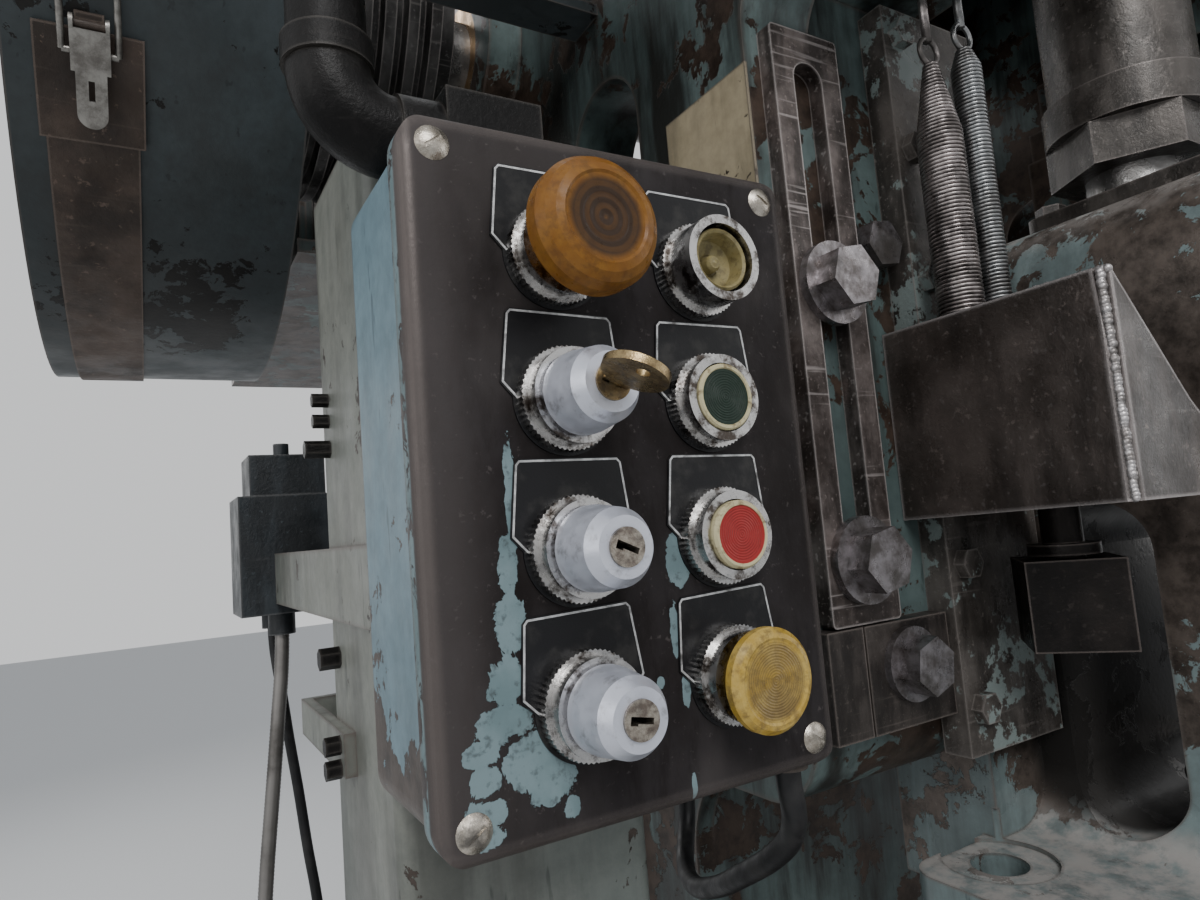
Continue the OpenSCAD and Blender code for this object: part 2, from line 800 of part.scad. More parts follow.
module flywheel_guard() {
    color("darkslategray") {
        at_shaft_plane(guard_left, guard_right) difference() {
            guard_outline(0);
            guard_outline(guard_t);
        }
        at_shaft_plane(guard_left, guard_left + guard_t) guard_outline(1);
        at_shaft_plane(guard_right - guard_t, guard_right) difference() {
            guard_outline(1);
            circle(clutch_r + 20);
            translate([belt_span, 0]) circle(52);
        }
        // Flat arms that carry the guard from the left cheek
        for (p = [[225, head_low + 70], [500, head_top - 45]])
            translate([guard_right - 1, p[0], p[1]]) cube([-cheek_x - guard_right + 1, 40, 10]);
    }
}

// Sheet-steel strap that closes the joint around the front of the guard
band_from = 218.5;
band_to = 292;

module ring_sector(r0, r1, a0, a1) {
    steps = 24;
    polygon(concat(
        [for (i = [0 : steps]) let (a = a0 + (a1 - a0) * i / steps) [r0 * cos(a), r0 * sin(a)]],
        [for (i = [steps : -1 : 0]) let (a = a0 + (a1 - a0) * i / steps) [r1 * cos(a), r1 * sin(a)]]
    ));
}

module guard_band() {
    color("saddlebrown") at_shaft_plane(band_left, band_right) intersection() {
        difference() {
            circle(guard_r + band_t + seat_gap, $fn = 96);
            circle(guard_r + seat_gap, $fn = 96);
        }
        ring_sector(guard_r - 20, guard_r + 40, band_from, band_to);
    }
    color("saddlebrown") at_latch() latch_base_parts();
    // Doubler under the latch
    color("saddlebrown") at_shaft_plane(band_left - 3, band_right + 3) intersection() {
        difference() {
            circle(guard_r + 2 * band_t + seat_gap, $fn = 96);
            circle(guard_r + band_t + seat_gap - 0.5, $fn = 96);
        }
        ring_sector(guard_r - 20, guard_r + 40, band_from, band_from + 10);
    }
}

// The draw latch is drawn flat, standing on the band, and then turned to its place
latch_angle = 218;
latch_x = -710;
latch_base = guard_r + 2 * band_t + 2 * seat_gap;

module at_latch() {
    translate([0, shaft_y, shaft_z]) rotate([latch_angle - 180, 0, 0])
        translate([latch_x, -latch_base, 0]) children();
}

module latch_lever() {
    color("gray") at_latch() {
        translate([-9.5, -8.6, -24]) cube([19, 2.4, 22]);
        difference() {
            translate([-7.5, -8.6, -46]) cube([15, 2.4, 30]);
            translate([-1.5, -9, -44]) cube([3, 4, 16]);
        }
        translate([0, -6.2, -46]) rotate([90, 0, 0]) cylinder(r = 7.5, h = 2.4);
        for (x = [-9.5, 7.5]) difference() {
            union() {
                translate([x, -8.6, -22]) cube([2, 7, 20]);
                xrod(x, x + 2, 4.6, -5, 0);
            }
            xrod(x - 1, x + 3, 2.2 + run_gap, -5, 0);
        }
    }
}

latch_pivot = -14;

module latch_bail() {
    color("silver") at_latch() {
        for (s = [-1, 1]) {
            xrod(s < 0 ? -13.4 : 9.7, s < 0 ? -9.7 : 13.4, 1.8, -5, latch_pivot);
            zrod(latch_pivot, 44, 1.8, s * 13.4, -5);
        }
        xrod(-15.2, 15.2, 1.8, -5, 44);
    }
}

// Base of the latch with its pivot pin, and the catch above it
module latch_base_parts() {
    translate([-7, -4, -10]) cube([14, 4.4, 16]);
    xrod(-9.4, 9.4, 2.2, -5, 0);
    translate([-7, -5.8, 31]) cube([14, 11.2, 10]);
}

module motor() {
    color("cadetblue") translate([motor_left, motor_y, shaft_z]) rotate([0, 90, 0]) {
        rotate_extrude() difference() {
            square([motor_r, motor_right - motor_left]);
            for (i = [0 : 9]) translate([motor_r - 9, 62 + i * 22]) square([20, 12]);
            translate([motor_r - 12, -1]) square([20, 12]);
            translate([motor_r - 12, motor_right - motor_left - 11]) square([20, 12]);
        }
        translate([0, 0, -guard_span()]) cylinder(r = 24, h = guard_span() + 1);
    }
    color("cadetblue") for (x = [motor_left + 50, motor_right - 90])
        translate([x, motor_y - 110, shaft_z - motor_foot]) cube([40, 220, 110]);
    color("cadetblue") translate([motor_left + 120, motor_y - 50, shaft_z + motor_r - 10])
        cube([110, 100, 60]);
}

function guard_span() = motor_left - (flywheel_x - flywheel_w / 2 + 8);

module motor_bracket() {
    top = shaft_z - motor_foot;
    color("slategray") {
        translate([motor_left + 20, back_y, top - 14])
            cube([motor_right - motor_left - 10, motor_y + 130 - back_y, 14]);
        for (x = [-cheek_x + 2, -cheek_x + 60]) side(x, x + 14) polygon([
            [back_y, top - 13], [motor_y + 100, top - 13], [motor_y + 100, top - 40],
            [back_y, top - 330]
        ]);
        translate([-cheek_x + 1, back_y, top - 340]) cube([86, 16, 330]);
    }
}

module post() {
    color("cadetblue") {
        difference() {
            translate([post_x, box_back + post_w / 2, 12]) linear_extrude(post_h - 12) difference() {
                rrect(-post_w / 2, -post_w / 2, post_w / 2, post_w / 2, 8);
                rrect(-post_w / 2 + post_wall, -post_w / 2 + post_wall, post_w / 2 - post_wall,
                      post_w / 2 - post_wall, 3);
            }
        }
        translate([post_x, box_back + post_w / 2, post_h - 6]) linear_extrude(6)
            rrect(-post_w / 2 + 1, -post_w / 2 + 1, post_w / 2 - 1, post_w / 2 - 1, 7);
        difference() {
            translate([post_x, box_back + post_w / 2, 0]) linear_extrude(12.5)
                rrect(-post_foot / 2, -post_foot / 2, post_foot / 2, post_foot / 2, 10);
            for (x = [-1, 1], y = [-1, 1])
                zrod(-1, 20, 9, post_x + x * post_bolt, box_back + post_w / 2 + y * post_bolt);
        }
        // Two ties to the left cheek
        for (z = [tie_low, post_h - tie_drop]) {
            translate([post_x + post_w / 2 - 1, box_back + 60, z - 40])
                cube([-cheek_x - post_x - post_w / 2 + 1, 10, 80]);
            translate([-cheek_x - 10, box_back + 40, z - 40]) cube([10, 50, 80]);
        }
        // Flat arms on the left side, the upper one out to the junction box
        translate([post_left - 6, box_back + 2, arm_low]) cube([6.1, arm_back - box_back - 2, 38]);
        translate([post_left - 6, box_back + 74, strap_low]) cube([6.1, 126, 22]);
        translate([post_left - 6, box_back + 194, strap_low]) cube([40, 6, 22]);
    }
}

post_left = post_x - post_w / 2;
post_back = box_back + post_w;
lead_end = lead_points[len(lead_points) - 1];
arm_low = 1293;
arm_back = 352;
strap_low = 1214;
tie_low = 620;
tie_drop = 95;
post_foot = 250;
post_bolt = 100;

// Floor bolts, and the hexagon heads on the post's left side
module post_bolts() {
    color("darkgray") {
        for (x = [-1, 1], y = [-1, 1])
            translate([post_x + x * post_bolt, box_back + post_w / 2 + y * post_bolt, 0]) {
                cylinder(r = 8.9, h = 30);
                translate([0, 0, 12.5]) cylinder(r = 15, h = 3);
                translate([0, 0, 15]) cylinder(r = 13, h = 12, $fn = 6);
            }
        // Left-side screws: drop from the top of the post, radius and projection
        for (h = [[120, 4, 9], [132, 4, 9], [148, 5, 14], [264, 6, 11]])
            translate([post_left, box_back + 105, post_h - h[0]]) rotate([0, -90, 0])
                cylinder(r = h[1], h = h[2], $fn = 6);
        // Two screws at the near end of the strap
        for (z = [15, 3]) translate([post_left - 6, box_back + 84, strap_low + z]) rotate([0, -90, 0])
            cylinder(r = 5, h = 8, $fn = 6);
    }
}

// Steel pipe that brings the wiring from the head down to the control box
module bend(a, r) {
    rotate_extrude(angle = a) translate([r, 0]) circle(pipe_r);
}

module conduit_pipe() {
    run_z = box_top + pipe_r + 3;
    fit = pipe_r + 2.5;
    color("black") {
        xrod(pipe_x + bend_r - 0.1, -cheek_x, pipe_r, pipe_y, pipe_top);
        translate([pipe_x + bend_r, pipe_y, pipe_top - bend_r]) rotate([90, 0, 0]) rotate([0, 0, 90])
            bend(90, bend_r);
        zrod(run_z + elbow_r - 0.1, pipe_top - bend_r + 0.1, pipe_r, pipe_x, pipe_y);
        zrod(run_z + elbow_r, run_z + elbow_r + 12, fit, pipe_x, pipe_y);
        translate([pipe_x + elbow_r, pipe_y, run_z + elbow_r]) rotate([90, 0, 0]) rotate([0, 0, 180])
            rotate_extrude(angle = 90) translate([elbow_r, 0]) circle(pipe_r + 1);
        xrod(pipe_x + elbow_r - 0.1, pipe_x + elbow_r + 20, fit, pipe_y, run_z);
        translate([pipe_x + elbow_r + 19, pipe_y - fit, box_top]) cube([46, 2 * fit, 2 * pipe_r + 6]);
        xrod(-cheek_x - 12, -cheek_x, pipe_r + 8, pipe_y, pipe_top);
        // Saddle and gland on the cheek for the looped cable
        difference() {
            translate([-cheek_x - 16, cable_end[1] - 12, cable_end[2] - 10]) cube([16, 24, 26]);
            zrod(cable_end[2] - 11, cable_end[2] + 1, cable_r + seat_gap, cable_end[0], cable_end[1]);
        }
    }
}

box_top = station_z + cover_h / 2 - sheet_t - box_gap;
cable_end = cable_points[len(cable_points) - 1];

// Sheet-steel box, open at the front, with the cable gland under it
module control_box() {
    w = cover_w / 2 - sheet_t - box_gap;
    h = cover_h / 2 - sheet_t - box_gap;
    color("cadetblue") {
        difference() {
            front(station_y + sheet_t, box_back) translate([station_x, station_z])
                rrect(-w, -h, w, h, corner_r - sheet_t);
            front(station_y, box_back - sheet_t) translate([station_x, station_z])
                rrect(-w + sheet_t, -h + sheet_t, w - sheet_t, h - sheet_t, corner_r - 2 * sheet_t);
            zrod(station_z - h - 1, station_z - h + 10, cable_r + seat_gap, cable_points[0][0],
                 cable_points[0][1]);
        }
        difference() {
            zrod(station_z - h - 8, station_z - h + 0.1, cable_r + 3.4, cable_points[0][0],
                 cable_points[0][1]);
            zrod(station_z - h - 9, station_z - h + 1, cable_r + seat_gap, cable_points[0][0],
                 cable_points[0][1]);
        }
    }
}

module at_operator(col, row) {
    translate([op_x + col * col_pitch / 2, station_y, op_z + (1.5 - row) * row_pitch])
        children();
}

// Plate with its four front edges rolled: three rounded outlines that cross each other
module rolled_plate(w, h, r, edge, depth) {
    intersection() {
        front(0, depth) rrect(-w / 2, -h / 2, w / 2, h / 2, r);
        side(-w, w) difference() {
            translate([0, -h]) square([depth, 2 * h]);
            translate([0, h / 2]) mirror([0, 1]) roll(edge, h);
            translate([0, -h / 2]) roll(edge, h);
        }
        translate([0, 0, -h]) linear_extrude(2 * h) difference() {
            translate([-w, 0]) square([2 * w, depth]);
            for (s = [0, 1]) mirror([s, 0]) translate([-w / 2, 0]) rotate(90) mirror([0, 1]) roll(edge, w);
        }
    }
}

// The corner of the square (0, 0) that lies outside a fold of this radius, and all below it
module roll(edge, far) {
    difference() {
        square(edge);
        translate([edge, edge]) circle(edge);
    }
    translate([-1, -far]) square([edge + 1, far]);
}

module box_cover() {
    color("darkslategray") translate([station_x, station_y, station_z]) difference() {
        rolled_plate(cover_w, cover_h, corner_r, fold_r, lip_d);
        translate([0, sheet_t, 0]) front(0, lip_d)
            rrect(-cover_w / 2 + sheet_t, -cover_h / 2 + sheet_t, cover_w / 2 - sheet_t,
                  cover_h / 2 - sheet_t, corner_r - sheet_t);
        translate([op_x - station_x, 0, op_z - station_z]) for (c = [-1, 1], r = [0 : 3])
            yrod(-1, sheet_t + 1, hole_r, c * col_pitch / 2, (1.5 - r) * row_pitch);
        for (x = [-1, 1], z = [-1, 1]) yrod(-1, sheet_t + 1, 3, x * screw_x, z * screw_z);
    }
}

module cover_screws() {
    color("silver") translate([station_x, station_y, station_z])
        for (x = [-1, 1], z = [-1, 1]) translate([x * screw_x, 0, z * screw_z]) difference() {
            union() {
                rotate([90, 0, 0]) rotate_extrude() intersection() {
                    translate([0, -7.5]) circle(10.2);
                    square([screw_head_r, 4]);
                }
                yrod(0, 20, 2.9, 0, 0);
            }
            rotate([0, 35 * x, 0]) translate([-screw_head_r, -4, -0.7]) cube([2 * screw_head_r, 2.2, 1.4]);
        }
}

// Legend plate: a straight top that flares down to a shoulder, then a round collar
module legend_outline() {
    difference() {
        union() {
            polygon([
                [-plate_w / 2 + 2, plate_rise], [plate_w / 2 - 2, plate_rise],
                [plate_w / 2, plate_rise - 2], [plate_w / 2 + plate_flare, plate_rise - plate_drop],
                [14, -8], [-14, -8], [-plate_w / 2 - plate_flare, plate_rise - plate_drop],
                [-plate_w / 2, plate_rise - 2]
            ]);
            circle(ring_r + 2);
        }
        circle(hole_r);
    }
}

plate_turn = [[0, 0], [-1, 0.5], [0, -0.5], [2, 2.5]];

module legend_plates() {
    color("black") for (c = [0, 1], r = [0 : 3]) at_operator(2 * c - 1, r)
        front(-plate_t, 0) rotate(plate_turn[r][c]) legend_outline();
}

// Chrome ring with a finely toothed rim at the back
module serrated_outline() {
    polygon([for (i = [0 : 2 * teeth_count - 1])
        let (a = i * 180 / teeth_count, r = ring_r + (i % 2 == 0 ? 0.7 : 0)) [r * cos(a), r * sin(a)]]);
}

module operator_ring(h, r_top) {
    difference() {
        union() {
            front(-plate_t - 5, -plate_t) serrated_outline();
            yrod(-plate_t - h, -plate_t - 4.9, r_top, 0, 0);
        }
        yrod(-plate_t - h - 1, 1, ring_bore_r, 0, 0);
    }
}

module operator_rings() {
    color("silver") {
        for (r = [0 : 3]) at_operator(-1, r) operator_ring(ring_h, ring_r - 1.5);
        for (r = [1 : 3]) at_operator(1, r) operator_ring(ring_h, ring_r - 1.5);
        at_operator(1, 0) operator_ring(guard_ring_h, ring_r - 1.5);
    }
}

// Black switch blocks behind the cover, one to an operator, with the threaded barrels
module contact_blocks() {
    color("black") for (c = [-1, 1], r = [0 : 3]) at_operator(c, r) {
        translate([-14, sheet_t + 18, -14]) cube([28, 34, 28]);
        difference() {
            yrod(-plate_t - barrel_rise, sheet_t + 18.1, ring_bore_r - run_gap, 0, 0);
            yrod(-plate_t - 5, sheet_t + 16, stem_r + 0.4, 0, 0);
        }
    }
}

stem_r = 11.9;
barrel_rise = 4;
skirt = plate_t + barrel_rise + button_travel + seat_gap;
// A turned button head on its stem, from an (radius, height) outline
module button(points, stem_back) {
    rotate([90, 0, 0]) rotate_extrude() polygon(points);
    yrod(-2, stem_back, stem_r, 0, 0);
}

module amber_button() {
    r = amber_d / 2;
    color("goldenrod") at_operator(-1, 0) button([
        [0, 1], [stem_r, 1], [stem_r, 23], [15, 24], [r - 3, 25.5], [r, 29], [r, 36], [r - 2, 40],
        [r - 5, 42.5], [r - 8, 43.5], [r - 9, 42.8], [0, 42]
    ], 6);
}

module yellow_button() {
    r = yellow_d / 2;
    color("gold") at_operator(1, 3) button([
        [0, 1], [stem_r, 1], [stem_r, 18.5], [r - 2.5, 19.5], [r, 21.5], [r, 25], [r - 2, 27.2],
        [r - 4, 27.8], [r - 5, 27.3], [0, 27.3]
    ], 6);
}

module cream_button() {
    color("khaki") at_operator(1, 0) button([
        [0, 1], [stem_r, 1], [stem_r, skirt], [13.6, skirt], [13.6, 19], [12.6, 20], [11.6, 19], [10.4, 12], [4, 10], [3.6, 13.5],
        [2.5, 15], [0, 15.6]
    ], 6);
}

module green_button() {
    color("green") at_operator(1, 1) button([
        [0, 1], [stem_r, 1], [stem_r, skirt], [14.2, skirt], [14.2, 13.5], [13.5, 14.3], [12.4, 14.3], [11.9, 13.6], [0, 13.6]
    ], 6);
}

module red_button() {
    color("crimson") at_operator(1, 2) button([
        [0, 1], [stem_r, 1], [stem_r, skirt], [14.2, skirt], [14.2, 14.8], [13.2, 16], [12.2, 16], [11.7, 15.4], [0, 15.4]
    ], 6);
}

module key_housings() {
    color("silver") for (r = [1 : 3]) at_operator(-1, r) rotate([90, 0, 0]) difference() {
        rotate_extrude() polygon([
            [0, 1], [stem_r, 1], [stem_r, plate_t + barrel_rise + seat_gap],
            [ring_bore_r - 0.3, plate_t + barrel_rise + seat_gap], [ring_bore_r - 0.3, ring_h + 1.5], [key_r, ring_h + 2.5],
            [key_r, ring_h + 6], [key_r - 1.8, key_face - 5], [11, key_face], [0, key_face]
        ]);
        translate([0, 0, 12]) cylinder(r = plug_r + run_gap, h = key_face);
    }
}

// Lock plug with a keyway across its face
module key_plug() {
    rotate([90, 0, 0]) difference() {
        translate([0, 0, 12.5]) cylinder(r = plug_r, h = key_face - 11.5);
        translate([-4.6, -1.1, 16]) cube([9.2, 2.2, key_face]);
        translate([-4.6, -1.9, 16]) cube([3, 2, key_face]);
    }
}

key_turn = [25, 24, 12];
key_t = 3;
bow_r = 12;
bow_y = -key_face - bow_r - 3;

module key_plug_top() {
    color("darkgoldenrod") at_operator(-1, 1) rotate([0, key_turn[0], 0]) key_plug();
}

module key_plug_middle() {
    color("gray") at_operator(-1, 2) rotate([0, key_turn[1], 0]) key_plug();
}

module key_plug_bottom() {
    color("gray") at_operator(-1, 3) rotate([0, key_turn[2], 0]) key_plug();
}

// Brass key: a blade in the keyway and a rounded bow with a ring hole
module key() {
    color("goldenrod") at_operator(-1, 1) rotate([0, key_turn[0], 0]) {
        translate([-3.9, -key_face - 5, -0.9]) cube([7.8, 20, 1.8]);
        translate([0, bow_y, -key_t / 2]) difference() {
            linear_extrude(key_t) {
                circle(bow_r);
                translate([-5, 0]) square([10, bow_r + 1]);
            }
            translate([0, -5, -1]) cylinder(r = 2.6, h = key_t + 2);
        }
    }
}

module slotted_bar() {
    color("tan") front(way_y - bar_t, way_y) translate([bar_x, bar_low]) difference() {
        rrect(-bar_w / 2, 0, bar_w / 2, bar_h, 3);
        translate([0, bar_h / 2]) rrect(-bar_slot_r, -bar_h / 2 + 24, bar_slot_r, bar_h / 2 - 22,
                                        bar_slot_r - 0.5);
    }
}

module clamp_plate() {
    color("dimgray") difference() {
        front(way_y - clamp_t, way_y) translate([clamp_x[0], clamp_low])
            square([clamp_x[1] - clamp_x[0], bar_low - clamp_low - 1]);
        translate([-315, way_y - clamp_t - 1, clamp_low - 1]) cube([1.5, 5, bar_low - clamp_low + 2]);
    }
}

// Two bolts with thick washers on the bar, one on the clamp plate and one bare head on the pad
module bar_bolts() {
    color("lightgray") {
        for (z = bar_bolt_z) {
            yrod(way_y - bar_t - 6, way_y - bar_t, washer_r, bar_x, z);
            hex_head(bar_x, way_y - bar_t - 6, z, 20.5, 16, 12);
            yrod(way_y - bar_t - 1, way_y, bar_slot_r - 1.5, bar_x, z);
        }
        yrod(way_y - clamp_t - 5, way_y - clamp_t, 23, clamp_bolt[0], clamp_bolt[1]);
        hex_head(clamp_bolt[0], way_y - clamp_t - 5, clamp_bolt[1], 18, 15, 20);
        hex_head(-256.5, way_y, 1505, 17, 18, 8);
    }
}

// Welded bracket: side, back, floor and a front plate whose top slopes down to the slide
module stop_bracket() {
    top = bracket_low + bracket_h;
    back = gib_front - seat_gap;
    color("sienna") difference() {
        union() {
            side(bracket_x[0], bracket_x[0] + bracket_t) polygon([
                [bracket_front, bracket_low], [way_y - seat_gap, bracket_low - 3],
                [way_y - seat_gap, top - 1], [bracket_front + 7, top]
            ]);
            front(back - bracket_back_t, back) translate([bracket_x[0], bracket_low])
                square([bracket_x[1] - bracket_x[0], 90]);
            front(bracket_front, bracket_front + bracket_t) polygon([
                [bracket_x[0] + 5, bracket_low], [bracket_x[1], bracket_low],
                [bracket_x[1], bracket_low + 30], [bracket_x[0] + 70, bracket_low + 55],
                [bracket_x[0] + 5, top]
            ]);
            translate([bracket_x[0], bracket_front, bracket_low])
                cube([bracket_x[1] - bracket_x[0], back - bracket_front, bracket_t]);
            front(back - bracket_back_t + 1, back - 3) translate([-190, bracket_low + 80])
                square([16, 110]);
        }
        zrod(bracket_low - 1, bracket_low + bracket_t + 1, stud_r + run_gap, stud_x, stud_y);
        // Ground bevel along the welded front corner
        translate([bracket_x[0], bracket_front, bracket_low - 5]) rotate([0, 0, 45])
            translate([-4, -4, 0]) cube([8, 8, bracket_h + 20]);
    }
}

// Stud with its collar below the bracket and the yoke plate that the springs lift
module stop_stud() {
    color("dimgray") {
        zrod(block_top - 20, yoke_z + 1, stud_r, stud_x, stud_y);
        zrod(yoke_z, yoke_z + yoke_t + 14, stud_r - 4, stud_x, stud_y);
        zrod(block_top + 2, block_top + 9, stud_r + 9, stud_x, stud_y);
        translate([-240, -18, yoke_z]) cube([76, 38, yoke_t]);
        translate([stud_x, stud_y, yoke_z + yoke_t - 0.1]) cylinder(r = 12.5, h = 9, $fn = 6);
    }
}

module stop_block() {
    color("saddlebrown") difference() {
        translate([stud_x, stud_y, block_top - block_w]) rotate([0, 0, block_turn])
            translate([-block_w / 2, -block_w / 2, 0]) cube(block_w);
        zrod(block_top - 30, block_top + 1, stud_r + run_gap, stud_x, stud_y);
    }
}

// Close-wound spring as one turned solid with a scalloped outline, and its end hooks
module spring(r, length, neck) {
    turns = floor(length / (4 * wire_r));
    pitch = length / turns;
    difference() {
        rotate_extrude($fn = 24) polygon(concat(
            [[r - 2 * wire_r - 1, 0]],
            [for (i = [0 : turns - 1], k = [0, 1])
                let (z = (i + k / 2) * pitch, taper = max(0, z - length + neck) / neck * (r - 5))
                [r - taper - (k == 0 ? wire_r : 0), z]],
            [[4, length], [2.5, length], [r - 2 * wire_r - 1, length - neck]]
        ));
    }
}

// Wire eye at the top of a spring, hung on a rod under the head
module hook(x, y, z) {
    translate([x, y, z + 9]) rotate([90, 0, 0]) rotate_extrude() translate([9, 0]) circle(hook_r);
    zrod(z - 3, z + 1, 4, x, y);
    zrod(z + 17, head_low, 3, x, y);
}

module springs() {
    color("gray") {
        translate([spring_large_x, spring_large_y, spring_low])
            spring(spring_large_r, spring_large_top - spring_low, 50);
        hook(spring_large_x, spring_large_y, spring_large_top);
    }
    color("silver") {
        translate([spring_small_x, spring_small_y, spring_low])
            spring(spring_small_r, spring_small_top - spring_low, 14);
        hook(spring_small_x, spring_small_y, spring_small_top);
    }
}

module side_plate() {
    color("wheat") translate([-cheek_x - 2, 56, 1530]) cube([2, 88, 90]);
}

// Junction box at the end of its arm, with a switch on top, and the glands of the flexible conduit
module junction_box() {
    color("dimgray") {
        translate([-628, arm_back, 1285]) cube([88, 66, 91]);
        translate([-619, arm_back + 4, 1375.9]) cube([56, 52, 32]);
        zrod(1407.9, 1419, 6, -592, arm_back + 28);
        zrod(1375.9, 1384, 5, -552, arm_back + 20);
        difference() {
            zrod(1268, 1285.1, 10, conduit_points[0][0], conduit_points[0][1]);
            zrod(1267, 1283, conduit_r + seat_gap, conduit_points[0][0], conduit_points[0][1]);
        }
        difference() {
            xrod(post_left - 9, post_left, 11, conduit_end[1], conduit_end[2]);
            xrod(post_left - 10, post_left - 1, conduit_r + seat_gap, conduit_end[1], conduit_end[2]);
        }
        difference() {
            zrod(1272, 1285.1, 8, lead_points[0][0], lead_points[0][1]);
            zrod(1271, 1284, lead_r + seat_gap, lead_points[0][0], lead_points[0][1]);
        }
        difference() {
            yrod(post_back, post_back + 12, 8, lead_end[0], lead_end[2]);
            yrod(post_back + 1, post_back + 13, lead_r + seat_gap, lead_end[0], lead_end[2]);
        }
    }
}

conduit_end = conduit_points[len(conduit_points) - 1];

// A round tube swept along a list of points
function unit(v) = v / norm(v);
function tangent(p, i) = unit(p[min(i + 1, len(p) - 1)] - p[max(i - 1, 0)]);
function ring_at(p, i, r, n) =
    let (t = tangent(p, i), a = unit(cross(t, abs(t[0]) > 0.9 ? [0, 1, 0] : [1, 0, 0])), b = cross(t, a))
    [for (k = [0 : n - 1]) p[i] + r * (cos(k * 360 / n) * a + sin(k * 360 / n) * b)];

module tube_along(p, r, n) {
    rings = len(p);
    polyhedron(
        points = [for (i = [0 : rings - 1]) each ring_at(p, i, r, n)],
        faces = concat(
            [[for (k = [0 : n - 1]) k]],
            [for (i = [0 : rings - 2], k = [0 : n - 1])
                [i * n + k, (i + 1) * n + k, (i + 1) * n + (k + 1) % n, i * n + (k + 1) % n]],
            [[for (k = [n - 1 : -1 : 0]) (rings - 1) * n + k]]
        )
    );
}

module flex_conduit() {
    color("gray") tube_along(conduit_points, conduit_r, 10);
}

module switch_cable() {
    color("black") tube_along(lead_points, lead_r, 8);
}
module box_cable() {
    color("black") tube_along(cable_points, cable_r, 10);
}

press_frame();
bolster_plate();
bolster_bolts();
bronze_bushes();
crankshaft();
bull_gear();
connecting_rod();
rod_cap();
rod_bolts();
adjusting_screw();
lock_nut();
slide();
ball_cap();
shank_screw();
gib_left();
gib_right();
gib_screws();
back_shaft();
pinion();
clutch_drum();
flywheel();
flywheel_guard();
guard_band();
latch_lever();
latch_bail();
motor();
motor_bracket();
motor_pulley();
v_belts();
post();
post_bolts();
conduit_pipe();
control_box();
box_cover();
cover_screws();
legend_plates();
operator_rings();
contact_blocks();
amber_button();
cream_button();
green_button();
red_button();
yellow_button();
key_housings();
key_plug_top();
key_plug_middle();
key_plug_bottom();
key();
slotted_bar();
clamp_plate();
bar_bolts();
stop_bracket();
stop_stud();
stop_block();
springs();
side_plate();
junction_box();
flex_conduit();
switch_cable();
box_cable();
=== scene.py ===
import math
import random

import bmesh
import bpy
from mathutils import Matrix, Vector


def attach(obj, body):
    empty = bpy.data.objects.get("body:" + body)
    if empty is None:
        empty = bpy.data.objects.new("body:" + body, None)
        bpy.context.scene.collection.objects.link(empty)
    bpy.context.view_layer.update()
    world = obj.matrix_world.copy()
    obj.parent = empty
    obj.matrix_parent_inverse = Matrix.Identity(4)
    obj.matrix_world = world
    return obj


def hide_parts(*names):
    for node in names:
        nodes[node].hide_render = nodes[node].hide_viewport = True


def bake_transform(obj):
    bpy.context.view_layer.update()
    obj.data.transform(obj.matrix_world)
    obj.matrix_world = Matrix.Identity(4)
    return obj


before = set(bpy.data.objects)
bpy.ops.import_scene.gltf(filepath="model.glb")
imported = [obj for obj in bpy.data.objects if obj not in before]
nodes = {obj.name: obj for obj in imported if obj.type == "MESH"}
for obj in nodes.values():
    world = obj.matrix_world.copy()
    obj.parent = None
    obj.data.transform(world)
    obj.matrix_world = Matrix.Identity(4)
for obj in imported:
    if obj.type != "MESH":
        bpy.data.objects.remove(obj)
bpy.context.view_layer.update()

# The view of the photograph: from the left of the station and close to it, through a wide lens.
# The three rows are the camera's right, down and forward directions in the press's frame.
camera_place = (-0.690, -0.298, 1.330)
camera_right = Vector((0.8633, -0.4983, -0.0802))
camera_down = Vector((-0.0193, 0.1263, -0.9918))
camera_ahead = Vector((0.5043, 0.8578, 0.0994))
camera_data = bpy.data.cameras.new("camera")
camera_data.lens = 23.55
camera_data.sensor_width = 36
camera_data.clip_start = 0.02
camera = bpy.data.objects.new("camera", camera_data)
bpy.context.collection.objects.link(camera)
turn = Matrix((camera_right, -camera_down, -camera_ahead)).transposed().to_4x4()
camera.matrix_world = Matrix.Translation(camera_place) @ turn
bpy.context.scene.camera = camera


